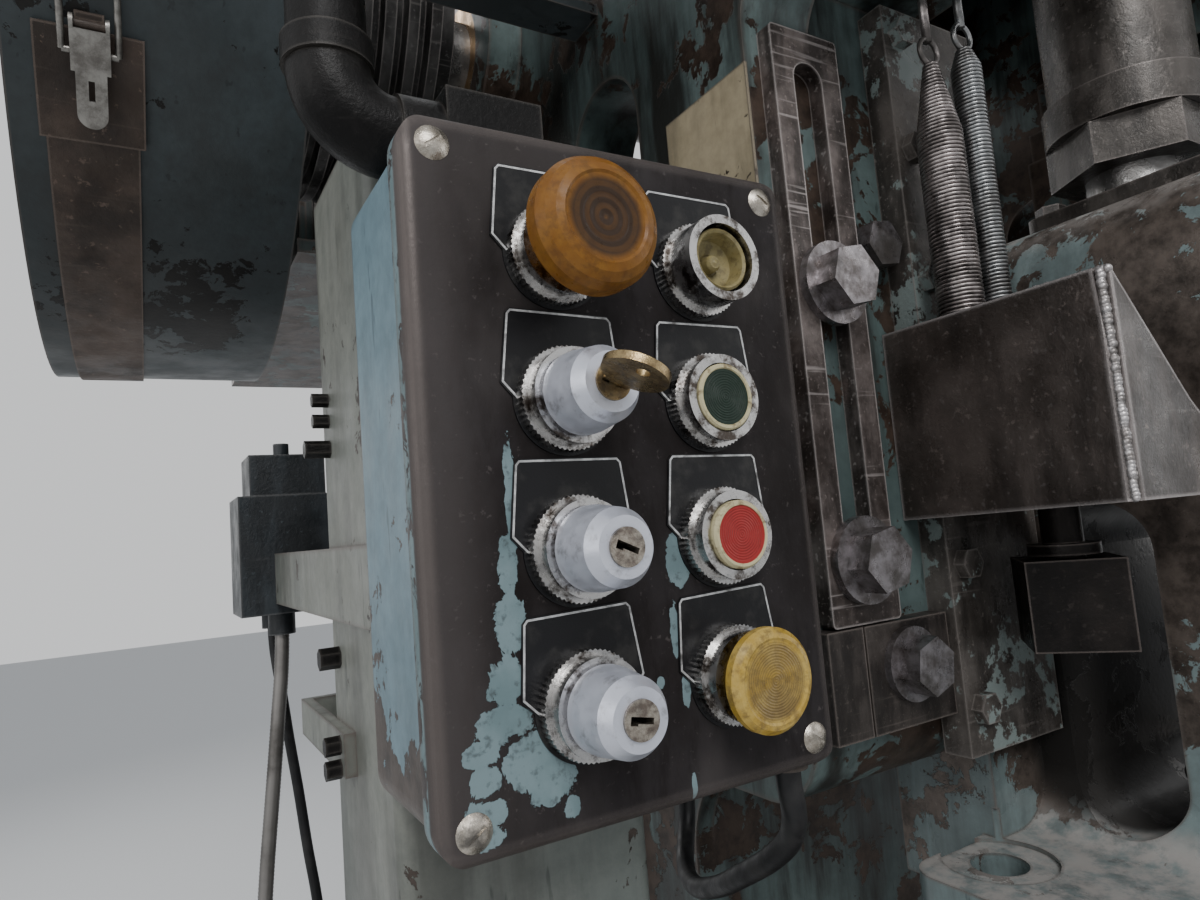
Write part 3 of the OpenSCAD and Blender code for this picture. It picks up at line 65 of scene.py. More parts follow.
# The flexible conduit drops from the junction box and runs on to the post's foot. It is an 11 mm
# steel-wound hose, so its skin is a row of fine ridges, and it is held by a gland at both ends.
class Finish:
    """A material built from patterns on Object coordinates, in metres, so that it stays on its piece."""

    def __init__(self, name, metallic=0.0, roughness=0.5):
        self.material = bpy.data.materials.new(name)
        self.material.use_nodes = True
        self.tree = self.material.node_tree
        self.shader = self.tree.nodes["Principled BSDF"]
        self.put("Metallic", metallic)
        self.put("Roughness", roughness)
        self.place = self.tree.nodes.new("ShaderNodeTexCoord").outputs["Object"]

    def set_socket(self, socket, value):
        if isinstance(value, bpy.types.NodeSocket):
            self.tree.links.new(value, socket)
        elif isinstance(value, (tuple, list)) and socket.type == "RGBA":
            socket.default_value = (*value[:3], 1)
        else:
            socket.default_value = value

    def put(self, name, value):
        self.set_socket(self.shader.inputs[name], value)

    def spread(self, stretch=(1, 1, 1), centre=(0, 0, 0)):
        mapping = self.tree.nodes.new("ShaderNodeMapping")
        mapping.vector_type = "POINT"
        self.tree.links.new(self.place, mapping.inputs["Vector"])
        mapping.inputs["Scale"].default_value = stretch
        mapping.inputs["Location"].default_value = [-c * s for c, s in zip(centre, stretch)]
        return mapping.outputs["Vector"]

    def noise(self, size, detail=4, rough=0.6, stretch=(1, 1, 1), shift=0.0, twist=0.0):
        node = self.tree.nodes.new("ShaderNodeTexNoise")
        vector = self.spread(stretch, (shift, 0.7 * shift, 0.3 * shift))
        self.tree.links.new(vector, node.inputs["Vector"])
        node.inputs["Scale"].default_value = 1 / size
        node.inputs["Detail"].default_value = detail
        node.inputs["Roughness"].default_value = rough
        node.inputs["Distortion"].default_value = twist
        return node.outputs["Fac"]

    def math(self, operation, a, b=0.0):
        node = self.tree.nodes.new("ShaderNodeMath")
        node.operation = operation
        self.set_socket(node.inputs[0], a)
        self.set_socket(node.inputs[1], b)
        return node.outputs[0]

    def times(self, a, b):
        return self.math("MULTIPLY", a, b)

    def plus(self, a, b):
        return self.math("ADD", a, b)

    def ramp(self, value, start, end, low=0.0, high=1.0):
        node = self.tree.nodes.new("ShaderNodeMapRange")
        node.interpolation_type = "SMOOTHSTEP"
        self.set_socket(node.inputs["Value"], value)
        node.inputs["From Min"].default_value = start
        node.inputs["From Max"].default_value = end
        node.inputs["To Min"].default_value = low
        node.inputs["To Max"].default_value = high
        return node.outputs["Result"]

    def either(self, share, first, second):
        node = self.tree.nodes.new("ShaderNodeMix")
        node.data_type = "RGBA"
        colours = [s for s in node.inputs if s.type == "RGBA"]
        self.set_socket(node.inputs[0], share)
        self.set_socket(colours[0], first)
        self.set_socket(colours[1], second)
        return [s for s in node.outputs if s.type == "RGBA"][0]

    def between(self, share, first, second):
        node = self.tree.nodes.new("ShaderNodeMix")
        node.data_type = "FLOAT"
        self.set_socket(node.inputs[0], share)
        self.set_socket(node.inputs[2], first)
        self.set_socket(node.inputs[3], second)
        return node.outputs[0]

    def near(self, centre, reach, soft=0.5):
        """1 at a point and 0 past an ellipsoid round it with these half axes."""
        node = self.tree.nodes.new("ShaderNodeVectorMath")
        node.operation = "LENGTH"
        vector = self.spread([1 / r for r in reach], centre)
        self.tree.links.new(vector, node.inputs[0])
        return self.ramp(node.outputs["Value"], soft, 1.0, 1.0, 0.0)

    def axis(self, name):
        node = self.tree.nodes.new("ShaderNodeSeparateXYZ")
        self.tree.links.new(self.place, node.inputs[0])
        return node.outputs[name]

    def facing(self, name):
        """How much the surface faces along X, Y or Z."""
        geometry = self.tree.nodes.new("ShaderNodeNewGeometry")
        node = self.tree.nodes.new("ShaderNodeSeparateXYZ")
        self.tree.links.new(geometry.outputs["Normal"], node.inputs[0])
        return node.outputs[name]

    def edges(self, radius):
        """1 on sharp outer and inner edges, 0 on the flats."""
        bevel = self.tree.nodes.new("ShaderNodeBevel")
        bevel.samples = 4
        bevel.inputs["Radius"].default_value = radius
        geometry = self.tree.nodes.new("ShaderNodeNewGeometry")
        node = self.tree.nodes.new("ShaderNodeVectorMath")
        node.operation = "DOT_PRODUCT"
        self.tree.links.new(bevel.outputs["Normal"], node.inputs[0])
        self.tree.links.new(geometry.outputs["True Normal"], node.inputs[1])
        return self.ramp(node.outputs["Value"], 0.998, 0.88)

    def bump(self, height, depth):
        node = self.tree.nodes.new("ShaderNodeBump")
        node.inputs["Strength"].default_value = 1.0
        node.inputs["Distance"].default_value = depth
        self.set_socket(node.inputs["Height"], height)
        self.put("Normal", node.outputs["Normal"])


def dress(finish, *names):
    for name in names:
        mesh = nodes[name].data
        mesh.materials.clear()
        mesh.materials.append(finish.material)


def finished(name, mesh, finish, body=None, smooth=True):
    """A new piece from a mesh in the press's frame, so that its object stays at the origin."""
    data = bpy.data.meshes.new(name)
    for face in mesh.faces:
        face.smooth = smooth
    mesh.to_mesh(data)
    mesh.free()
    piece = bpy.data.objects.new(name, data)
    bpy.context.collection.objects.link(piece)
    data.materials.append(finish.material)
    if body is not None:
        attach(piece, body)
    return piece


def smooth_route(points, gap):
    """The points of a smooth curve through a route, this far apart."""
    parts = 24
    ends = [points[0] * 2 - points[1], *points, points[-1] * 2 - points[-2]]
    dense = []
    for a, b, c, d in zip(ends, ends[1:], ends[2:], ends[3:]):
        for i in range(parts):
            t = i / parts
            dense.append(0.5 * (2 * b + (c - a) * t + (2 * a - 5 * b + 4 * c - d) * t * t
                                + (3 * b - a - 3 * c + d) * t * t * t))
    dense.append(points[-1].copy())
    total = sum((b - a).length for a, b in zip(dense, dense[1:]))
    steps = round(total / gap)
    route, lit_from_above_and_wiped, index = [dense[0].copy()], 0.0, 0
    for i in range(1, steps):
        while lit_from_above_and_wiped + (dense[index + 1] - dense[index]).length < total * i / steps:
            lit_from_above_and_wiped += (dense[index + 1] - dense[index]).length
            index += 1
        span = (dense[index + 1] - dense[index]).length
        route.append(dense[index].lerp(dense[index + 1], (total * i / steps - lit_from_above_and_wiped) / span))
    route.append(dense[-1].copy())
    return route


def tube(route, radius_at, sides):
    """A closed tube along a route: a circle at every point, joined to the one before."""
    mesh = bmesh.new()
    ahead = (route[1] - route[0]).normalized()
    turn = ahead.to_track_quat("Z", "Y")
    last_loop = None
    for i, point in enumerate(route):
        before, after = route[max(i - 1, 0)], route[min(i + 1, len(route) - 1)]
        new_ahead = (after - before).normalized()
        turn = ahead.rotation_difference(new_ahead) @ turn
        ahead = new_ahead
        place = Matrix.Translation(point) @ turn.to_matrix().to_4x4()
        ring = bmesh.ops.create_circle(mesh, cap_ends=i in (0, len(route) - 1), radius=radius_at(i),
                                       segments=sides, matrix=place)["verts"]
        loop = {e for v in ring for e in v.link_edges}
        if last_loop:
            bmesh.ops.bridge_loops(mesh, edges=list(loop | last_loop))
        last_loop = loop
    bmesh.ops.recalc_face_normals(mesh, faces=mesh.faces)
    return mesh


def metres(points):
    return [Vector(p) / 1000 for p in points]


conduit_points = metres([
    (-597, 375, 1283), (-597, 375, 1271), (-599, 373, 1240), (-603, 371, 1205), (-607, 369, 1170),
    (-611, 368, 1135), (-615, 367, 1100), (-619, 365, 1060), (-623, 363, 1020), (-626, 360, 980),
    (-629, 356, 940), (-631, 351, 900), (-633, 344, 860), (-634, 336, 820), (-635, 327, 780),
    (-635, 317, 740), (-635, 306, 700), (-635, 294, 660), (-634, 281, 620), (-633, 268, 580),
    (-632, 254, 540), (-631, 240, 500), (-630, 225, 460), (-629, 209, 425), (-628, 192, 392),
    (-627, 175, 362), (-626, 158, 336), (-625, 143, 315), (-623, 131, 299), (-618, 123, 289),
    (-611, 120, 285), (-601, 120, 285)])
conduit_radius = 0.0055
conduit_ridge = 0.00035
conduit_finish = Finish("conduit_steel", metallic=0.75, roughness=0.45)
conduit_grime = conduit_finish.ramp(conduit_finish.noise(0.05, 6), 0.4, 0.7)
conduit_finish.put("Base Color", conduit_finish.either(conduit_grime, (0.20, 0.19, 0.18),
                                                       (0.05, 0.045, 0.04)))
conduit_route = smooth_route(conduit_points, 0.0014)
conduit_piece = finished(
    "conduit_hose",
    tube(conduit_route, lambda i: conduit_radius - (conduit_ridge if i % 2 else 0.0), 12),
    conduit_finish, "frame")


def lead(node):
    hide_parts(node)


lead("flex_conduit")


# A thinner black cable leaves the junction box behind the conduit and hangs down to a gland in the
# back of the post. Its rubber is matt and dusty.
thin_points = metres([
    (-601, 397, 1283), (-601, 397, 1270), (-600, 396, 1250), (-596, 396, 1218), (-592, 395, 1182),
    (-587, 394, 1143), (-582, 393, 1098), (-577, 391, 1059), (-573, 388, 1010), (-570, 384, 960),
    (-568, 379, 910), (-566, 373, 860), (-565, 366, 810), (-564, 358, 760), (-563, 349, 710),
    (-562, 339, 660), (-561, 328, 610), (-560, 315, 560), (-560, 300, 515), (-560, 284, 474),
    (-560, 267, 440), (-560, 251, 414), (-560, 237, 396), (-560, 224, 384), (-560, 211, 378),
    (-560, 200, 377), (-560, 187, 377)])
thin_radius = 0.004
rubber = Finish("black_rubber", roughness=0.5)
rubber.put("Base Color", rubber.either(rubber.ramp(rubber.noise(0.02, 5), 0.45, 0.7),
                                       (0.009, 0.009, 0.010), (0.024, 0.023, 0.023)))
rubber.put("Specular IOR Level", 0.3)
rubber.put("Roughness", rubber.ramp(rubber.noise(0.01, 4), 0.3, 0.7, 0.38, 0.6))
rubber.bump(rubber.noise(0.0015, 3), 0.0001)
thin_route = smooth_route(thin_points, 0.004)
thin_piece = finished("thin_cable", tube(thin_route, lambda i: thin_radius, 16), rubber,
                      "frame")
lead("switch_cable")


# The black cable leaves the box through its gland, hangs in one loop and goes up into a gland on the
# cheek. It is plain rubber, matt with a faint shine.
cable_points = metres([
    (-432, -8, 1222), (-432, -8, 1205), (-430, -7, 1195), (-426, -2, 1184), (-421, 9, 1171),
    (-418, 28, 1156), (-413, 60, 1136), (-407, 88, 1120), (-400, 118, 1107), (-391, 142, 1102.5),
    (-379, 162, 1103), (-369, 174, 1110), (-361, 182, 1121), (-357.5, 185, 1136), (-357, 185, 1150),
    (-357, 185, 1162)])
cable_radius = 0.006
cable_route = smooth_route(cable_points, 0.003)
cable_piece = finished("cable_loop", tube(cable_route, lambda i: cable_radius, 20), rubber,
                       "frame")
lead("box_cable")


# Plain pale floor, wide enough to run out of view, and soft studio light: a pale world, a large key
# light high behind the photographer and weaker fills from both sides and the back.
floor_size = 30
floor_drop = 0.0005
floor_mesh = bmesh.new()
bmesh.ops.create_grid(floor_mesh, x_segments=1, y_segments=1, size=floor_size / 2,
                      matrix=Matrix.Translation((0, 0, -floor_drop)))
floor_data = bpy.data.meshes.new("floor")
floor_mesh.to_mesh(floor_data)
floor_mesh.free()
floor = bpy.data.objects.new("floor", floor_data)
bpy.context.collection.objects.link(floor)
floor_finish = Finish("floor_pale", roughness=0.8)
floor_finish.put("Base Color", (0.72, 0.72, 0.71))
floor_data.materials.append(floor_finish.material)

world = bpy.data.worlds.new("studio")
bpy.context.scene.world = world
world.use_nodes = True
tree = world.node_tree
tree.nodes.clear()
path = tree.nodes.new("ShaderNodeLightPath")
seen = tree.nodes.new("ShaderNodeMath")
seen.operation = "MAXIMUM"
tree.links.new(path.outputs["Is Camera Ray"], seen.inputs[0])
tree.links.new(path.outputs["Is Transmission Ray"], seen.inputs[1])
shown = tree.nodes.new("ShaderNodeMath")
shown.operation = "MAXIMUM"
tree.links.new(seen.outputs[0], shown.inputs[0])
tree.links.new(path.outputs["Is Glossy Ray"], shown.inputs[1])
soft = tree.nodes.new("ShaderNodeBackground")
soft.inputs["Color"].default_value = (0.80, 0.84, 0.90, 1)
soft.inputs["Strength"].default_value = 0.55
pale = tree.nodes.new("ShaderNodeBackground")
pale.inputs["Color"].default_value = (0.86, 0.87, 0.88, 1)
pale.inputs["Strength"].default_value = 0.95
join = tree.nodes.new("ShaderNodeMixShader")
tree.links.new(shown.outputs[0], join.inputs[0])
tree.links.new(soft.outputs[0], join.inputs[1])
tree.links.new(pale.outputs[0], join.inputs[2])
tree.links.new(join.outputs[0], tree.nodes.new("ShaderNodeOutputWorld").inputs["Surface"])


def lamp(name, place, target, size, power):
    data = bpy.data.lights.new(name, "AREA")
    data.shape = "DISK"
    data.size = size
    data.energy = power
    light = bpy.data.objects.new(name, data)
    light.location = place
    light.rotation_euler = (Vector(target) - Vector(place)).to_track_quat("-Z", "Y").to_euler()
    bpy.context.collection.objects.link(light)


lamp("key", (-1.3, -2.4, 3.4), (-0.3, 0.0, 1.3), 1.6, 75)
lamp("right_fill", (2.4, -1.0, 2.2), (-0.2, 0.0, 1.2), 2.4, 20)
lamp("left_fill", (-3.2, -0.6, 2.0), (-0.4, 0.1, 1.3), 2.4, 20)
lamp("back", (-1.5, 4.0, 3.5), (0.0, 0.3, 1.2), 2.5, 60)


# The frame is one casting in dark blue-green enamel, gone nearly black with oil on its sides, and
# chipped to brown iron along its edges. The motor and its bracket were painted with it.
def worn_paint(name, paint, faded, bare, chip_size=0.03, chip_share=0.40, oil=0.6, edge=0.003,
               patch=None, gloss=0.38, shift=0.0, grain=0.0006, shine=0.4):
    """Two tones of paint, chips down to metal, dark runs of oil and rubbed edges."""
    f = Finish(name)
    f.put("Specular IOR Level", shine)
    tone = f.ramp(f.noise(0.35, 4, shift=shift), 0.36, 0.62)
    colour = f.either(tone, paint, faded)
    mottle = f.ramp(f.noise(0.012, 5, 0.7, shift=shift + 1), 0.3, 0.75, 0.0, 0.4)
    colour = f.either(mottle, colour, [c * 0.5 for c in paint])
    runs = f.noise(0.035, 5, 0.65, stretch=(1, 1, 0.12), shift=shift + 2)
    pools = f.noise(0.22, 3, shift=shift + 3)
    oily = f.times(f.ramp(f.plus(f.times(runs, 0.55), f.times(pools, 0.45)), 0.45, 0.60), oil)
    colour = f.either(oily, colour, (0.012, 0.010, 0.008))
    scuffs = f.ramp(f.noise(0.010, 3, 0.6, stretch=(1, 1, 0.16), shift=shift + 9), 0.66, 0.70, 0.0, 0.5)
    colour = f.either(scuffs, colour, [c * 0.25 for c in paint])
    coarse = f.noise(chip_size * 5, 2, shift=shift + 4)
    fine = f.noise(chip_size, 8, 0.68, shift=shift + 5, twist=0.4)
    field = f.plus(f.times(coarse, 0.5), f.times(fine, 0.5))
    if patch is not None:
        field = f.plus(field, patch(f))
    start = 0.66 - 0.25 * chip_share
    chipped = f.ramp(field, start, start + 0.006)
    rubbed = f.ramp(f.plus(f.times(f.edges(edge), 0.55), f.times(fine, 0.5)), 0.50, 0.60)
    worn = f.math("MAXIMUM", chipped, rubbed)
    steel = f.either(f.ramp(f.noise(0.02, 6, 0.7, shift=shift + 6), 0.35, 0.7), bare,
                     [c * 0.3 for c in bare])
    steel = f.either(f.times(rubbed, 0.45), steel, (0.22, 0.19, 0.17))
    f.put("Base Color", f.either(worn, colour, steel))
    f.put("Metallic", f.times(worn, 0.4))
    matt = f.ramp(f.noise(0.05, 5, shift=shift + 7), 0.3, 0.7, gloss - 0.08, gloss + 0.16)
    f.put("Roughness", f.between(f.math("MAXIMUM", oily, f.times(worn, 0.5)), matt, gloss - 0.06))
    height = f.plus(f.times(worn, -0.35), f.times(f.noise(0.004, 4, shift=shift + 8), 0.25))
    f.bump(height, grain)
    return f


frame_finish = worn_paint("frame_enamel", (0.060, 0.085, 0.082), (0.115, 0.155, 0.150),
                          (0.070, 0.048, 0.036), chip_size=0.035, chip_share=0.62, oil=0.92, edge=0.006)
dress(frame_finish, "press_frame", "motor", "motor_bracket")


# The guard of the flywheel is rolled sheet in the same enamel, darker, with black chips low down. A
# brown steel band closes its joint at the front.
def oily_steel(name, light, dark, size=0.05, rough=0.34, edge=0.0025, edge_colour=(0.42, 0.39, 0.37),
               metal=0.55, scratch=0.3, teal=None, teal_share=0.3, shift=0.0, grain=0.0004, shine=0.4):
    """Bare steel or iron under oil and dust: clouded, scratched, with bright metal on its edges."""
    f = Finish(name, metallic=metal)
    f.put("Specular IOR Level", shine)
    cloud = f.ramp(f.noise(size, 6, 0.65, shift=shift), 0.33, 0.66)
    colour = f.either(cloud, dark, light)
    smear = f.ramp(f.noise(size * 0.6, 4, stretch=(1, 1, 0.25), shift=shift + 2), 0.42, 0.62, 0.0, 0.7)
    colour = f.either(smear, colour, [c * 0.3 for c in dark])
    spots = f.ramp(f.noise(size * 0.09, 4, 0.7, shift=shift + 9), 0.60, 0.68, 0.0, 0.6)
    colour = f.either(spots, colour, [c * 1.7 for c in light])
    lines = f.ramp(f.noise(0.004, 2, 0.5, stretch=(0.05, 1, 1.0), shift=shift + 3), 0.62, 0.72)
    colour = f.either(f.times(lines, scratch), colour, edge_colour)
    if teal is not None:
        left = f.plus(f.times(f.noise(0.09, 3, shift=shift + 4), 0.5),
                      f.times(f.noise(0.02, 8, 0.7, shift=shift + 5), 0.5))
        paint = f.ramp(left, 0.62 - 0.22 * teal_share, 0.63 - 0.22 * teal_share)
        colour = f.either(paint, colour, teal)
        f.put("Metallic", f.between(paint, metal, 0.0))
    bright = f.ramp(f.plus(f.times(f.edges(edge), 0.6), f.times(f.noise(0.006, 5, shift=shift + 6), 0.4)),
                    0.45, 0.65)
    f.put("Base Color", f.either(bright, colour, edge_colour))
    f.put("Roughness", f.ramp(f.noise(0.03, 6, shift=shift + 7), 0.3, 0.7, rough - 0.1, rough + 0.18))
    f.bump(f.noise(0.003, 5, 0.7, shift=shift + 8), grain)
    return f


def guard_chips(f):
    low = f.near((-0.668, 0.335, 1.520), (0.09, 0.14, 0.09), 0.3)
    return f.times(low, 0.13)


guard_finish = worn_paint("guard_enamel", (0.022, 0.029, 0.031), (0.040, 0.052, 0.056),
                          (0.008, 0.007, 0.006), chip_size=0.012, chip_share=0.18, oil=0.35,
                          edge=0.003, shift=3.0, gloss=0.40, patch=guard_chips)
dress(guard_finish, "flywheel_guard")
band_finish = oily_steel("band_steel", (0.092, 0.064, 0.050), (0.042, 0.029, 0.022), size=0.09,
                         rough=0.5, metal=0.2, scratch=0.12, edge_colour=(0.15, 0.115, 0.095), shift=5.0)
dress(band_finish, "guard_band")


# The draw latch is a zinc-plated pressing, dull and greasy, with a round-wire bail.
def plated(name, light, dark, rough=0.3, metal=0.9, grime=(0.05, 0.045, 0.04), size=0.012, shift=0.0,
           dirt_share=0.5):
    """Zinc, nickel or brass with grease in its hollows."""
    f = Finish(name, metallic=metal)
    colour = f.either(f.ramp(f.noise(size, 6, 0.7, shift=shift), 0.35, 0.65), dark, light)
    start = 0.66 - 0.28 * dirt_share
    dirt = f.ramp(f.noise(size * 2.5, 5, shift=shift + 2), start, start + 0.15, 0.0, 0.85)
    f.put("Base Color", f.either(dirt, colour, grime))
    f.put("Metallic", f.between(dirt, metal, metal * 0.4))
    f.put("Roughness", f.ramp(f.noise(size * 0.7, 5, shift=shift + 4), 0.3, 0.7, rough - 0.1, rough + 0.15))
    f.bump(f.noise(size * 0.12, 4, shift=shift + 5), 0.00015)
    return f


latch_finish = plated("latch_zinc", (0.28, 0.27, 0.25), (0.13, 0.12, 0.11), rough=0.42)
dress(latch_finish, "latch_lever", "latch_bail")


# The post is a square tube in pale grey-green enamel, faded to cream and chipped to brown and dark
# primer, with the same paint on its arm. It is chipped more, and so darker, towards the top.
# More chips towards the top of the post.
def post_upper_chipping(f):
    return f.times(f.ramp(f.axis("Z"), 1.20, 1.45), 0.035)


post_finish = worn_paint("post_enamel", (0.145, 0.168, 0.154), (0.220, 0.225, 0.197),
                         (0.080, 0.062, 0.052), chip_size=0.024, chip_share=0.24, oil=0.45, edge=0.004,
                         shift=7.0, gloss=0.45, patch=post_upper_chipping)
dress(post_finish, "post")
black_steel = oily_steel("black_steel", (0.009, 0.008, 0.0075), (0.004, 0.0035, 0.0035), size=0.03,
                         shine=0.2, rough=0.34, metal=0.2, scratch=0.1,
                         edge_colour=(0.05, 0.045, 0.04), shift=9.0)
dress(black_steel, "post_bolts", "conduit_pipe")


# Junction box with its switch: dark grey plastic and cast metal with a greasy shine.
box_grey = oily_steel("switch_grey", (0.028, 0.034, 0.039), (0.015, 0.018, 0.021), size=0.04,
                      rough=0.38, metal=0.1, scratch=0.1, edge_colour=(0.10, 0.10, 0.10), shift=11.0)
dress(box_grey, "junction_box")


# The box of the operator station: folded sheet in grey-green enamel on its sides, with chips along
# the front edge and brown steel at its lower front corner.
def lower_front(f):
    low = f.times(f.ramp(f.axis("Z"), 1.310, 1.215), 0.20)
    return f.plus(low, f.times(f.ramp(f.axis("Y"), 0.004, -0.030), 0.06))


side_finish = worn_paint("station_enamel", (0.155, 0.240, 0.280), (0.190, 0.280, 0.325),
                         (0.085, 0.064, 0.052), chip_size=0.016, chip_share=0.30, oil=0.2,
                         edge=0.003, shift=13.0, gloss=0.42, patch=lower_front)
dress(side_finish, "control_box")


# Its cover lost most of its enamel to hands and rags: dark brown-grey steel, polished at the rolled
# edges, with a painted highlight along the rolled left fold, and islands of grey-green left at the left and
# low down.
islands = [
    ((-0.572, 1.346), (0.0057, 0.0369)), ((-0.575, 1.319), (0.0086, 0.0222)),
    ((-0.576, 1.298), (0.0140, 0.0235)), ((-0.579, 1.279), (0.0160, 0.0204)),
    ((-0.580, 1.264), (0.0199, 0.0146)), ((-0.564, 1.247), (0.0261, 0.0263)),
    ((-0.561, 1.245), (0.0168, 0.0214)), ((-0.556, 1.230), (0.0066, 0.0082)),
    ((-0.590, 1.255), (0.0132, 0.0082)), ((-0.589, 1.246), (0.0104, 0.0110)),
    ((-0.590, 1.235), (0.0158, 0.0093)), ((-0.591, 1.227), (0.0137, 0.0095)),
    ((-0.499, 1.315), (0.0110, 0.0232)), ((-0.504, 1.287), (0.0047, 0.0225)),
    ((-0.501, 1.263), (0.0042, 0.0141)), ((-0.513, 1.267), (0.0045, 0.0055)),
    ((-0.501, 1.225), (0.0028, 0.0108)), ((-0.575, 1.250), (0.0128, 0.0178)),
]
cover_finish = Finish("cover_steel")
f = cover_finish
share = None
for (x, z), (reach_x, reach_z) in islands:
    spot = f.near((x, -0.03, z), (reach_x, 0.1, reach_z), 0.1)
    share = spot if share is None else f.math("MAXIMUM", share, spot)
ragged = f.noise(0.012, 8, 0.68, stretch=(1, 1, 0.75), twist=0.6)
left_over = f.ramp(f.plus(f.times(share, 0.36), f.times(ragged, 0.62)), 0.520, 0.527)
depth_mask = f.ramp(f.axis("Y"), -0.0255, -0.0235)
left_over = f.math("MAXIMUM", left_over, f.times(depth_mask, f.ramp(ragged, 0.44, 0.45)))
worn_grey = f.either(f.ramp(f.noise(0.06, 5), 0.35, 0.65), (0.014, 0.0115, 0.011), (0.026, 0.023, 0.0235))
worn_grey = f.either(f.ramp(f.noise(0.008, 6, 0.7, stretch=(1, 1, 0.3), shift=2), 0.45, 0.7, 0, 0.6),
                     worn_grey, (0.010, 0.008, 0.0075))
wiped = f.ramp(f.noise(0.10, 4, shift=4, stretch=(1, 1, 0.6)), 0.50, 0.66, 0, 0.5)
worn_grey = f.either(wiped, worn_grey, (0.068, 0.060, 0.058))
pits = f.ramp(f.noise(0.0035, 4, 0.7, shift=7), 0.62, 0.70, 0, 0.35)
worn_grey = f.either(pits, worn_grey, (0.12, 0.105, 0.10))
# Lighter towards the rolled left fold: partly polish, partly a painted highlight of the fold.
rolled_fold_highlight = f.ramp(f.axis("X"), -0.572, -0.602, 0.0, 0.6)
worn_grey = f.either(rolled_fold_highlight, worn_grey, (0.080, 0.070, 0.068))
enamel = f.either(f.ramp(f.noise(0.03, 4, shift=5), 0.35, 0.65), (0.13, 0.185, 0.195), (0.18, 0.245, 0.26))
enamel = f.either(f.ramp(f.noise(0.004, 5, shift=6), 0.52, 0.68, 0, 0.6), enamel, (0.05, 0.055, 0.055))
colour = f.either(left_over, worn_grey, enamel)
rim = f.ramp(f.plus(f.times(f.edges(0.006), 0.65), f.times(f.noise(0.01, 6, shift=8), 0.4)), 0.42, 0.62)
colour = f.either(f.times(rim, 0.65), colour, (0.15, 0.128, 0.118))
f.put("Base Color", colour)
f.put("Specular IOR Level", 0.08)
f.put("Metallic", f.between(left_over, f.ramp(rim, 0.0, 1.0, 0.10, 0.45), 0.0))
f.put("Roughness", f.between(left_over, f.ramp(f.noise(0.02, 6, shift=9), 0.3, 0.7, 0.34, 0.55), 0.45))
f.bump(f.plus(f.times(left_over, 0.6), f.times(f.noise(0.0025, 4, shift=10), 0.25)), 0.0005)
dress(cover_finish, "box_cover")
screw_finish = plated("screw_nickel", (0.50, 0.46, 0.40), (0.26, 0.23, 0.19), rough=0.25, shift=2.0,
                      size=0.006)
dress(screw_finish, "cover_screws")


# Legend plates: black anodised aluminium. The bright line that follows the top and sides of each
# plate is bare metal. They carry no wording.
operator_x = (-0.547, -0.477)
operator_pitch = 0.0579
operator_middle = 1.352
operator_z = [operator_middle + (1.5 - row) * operator_pitch for row in range(4)]
plate_front = -0.0308
plate_black = Finish("legend_black", roughness=0.38)
plate_black.put("Base Color", plate_black.either(plate_black.ramp(plate_black.noise(0.012, 6), 0.5, 0.72),
                                                 (0.004, 0.004, 0.005), (0.022, 0.021, 0.020)))
plate_black.put("Specular IOR Level", 0.3)
plate_black.bump(plate_black.noise(0.001, 3), 0.00005)
dress(plate_black, "legend_plates")
border_finish = plated("legend_border", (0.62, 0.62, 0.62), (0.36, 0.36, 0.36), rough=0.4, size=0.004,
                       metal=0.6)
plate_turns = [(0, 0), (-1, 0.5), (0, -0.5), (2, 2.5)]
plate_outline = [(-0.0170, -0.0035), (-0.0262, 0.0062), (-0.0231, 0.0330), (-0.0215, 0.0347),
                 (0.0215, 0.0347), (0.0231, 0.0330), (0.0262, 0.0062), (0.0170, -0.0035)]
border_width = 0.0008
border_rise = 0.0002
border_depth = 0.0003
border_mesh = bmesh.new()
for row in range(4):
    for column in range(2):
        spot = (Matrix.Translation((operator_x[column], plate_front - border_rise, operator_z[row]))
                @ Matrix.Rotation(-math.radians(plate_turns[row][column]), 4, "Y"))
        corners = [border_mesh.verts.new(spot @ Vector((x, 0, z))) for x, z in plate_outline]
        middle = bmesh.ops.contextual_create(
            border_mesh, geom=corners, mat_nr=0, use_smooth=False)["faces"]
        rim_faces = bmesh.ops.inset_region(border_mesh, faces=middle, thickness=border_width,
                                           use_boundary=True, use_even_offset=True)["faces"]
        bmesh.ops.delete(border_mesh, geom=middle, context="FACES")
        grown = bmesh.ops.extrude_face_region(border_mesh, geom=rim_faces)["geom"]
        back = [g for g in grown if isinstance(g, bmesh.types.BMVert)]
        bmesh.ops.translate(border_mesh, verts=back, vec=(0, border_depth, 0))
bmesh.ops.recalc_face_normals(border_mesh, faces=border_mesh.faces)
finished("legend_borders", border_mesh, border_finish, "frame", smooth=False)


# The operator rings are chromed brass with a fine knurl at the back, worn and greasy.
chrome = Finish("ring_chrome", metallic=1.0, roughness=0.2)
ring_grime = chrome.ramp(chrome.noise(0.008, 6, 0.7), 0.46, 0.64)
chrome.put("Base Color", chrome.either(ring_grime, (0.55, 0.54, 0.53), (0.09, 0.075, 0.065)))
chrome.put("Roughness", chrome.ramp(chrome.noise(0.006, 5), 0.3, 0.7, 0.12, 0.38))
chrome.bump(chrome.noise(0.0015, 4), 0.00008)
dress(chrome, "operator_rings")
dress(rubber, "contact_blocks")


# Push buttons are moulded plastic: amber and yellow palm buttons, and a cream, a green and a red one
# in rings. Fine turned circles show on every face, with grease in them.
def circles(f, centre, pitch, twist=0.0):
    """Fine circles round an axis along Y through a centre."""
    node = f.tree.nodes.new("ShaderNodeTexWave")
    node.wave_type = "RINGS"
    node.rings_direction = "Y"
    f.tree.links.new(f.spread((1, 1, 1), centre), node.inputs["Vector"])
    node.inputs["Scale"].default_value = 0.3142 / pitch
    node.inputs["Distortion"].default_value = twist
    return node.outputs["Fac"]


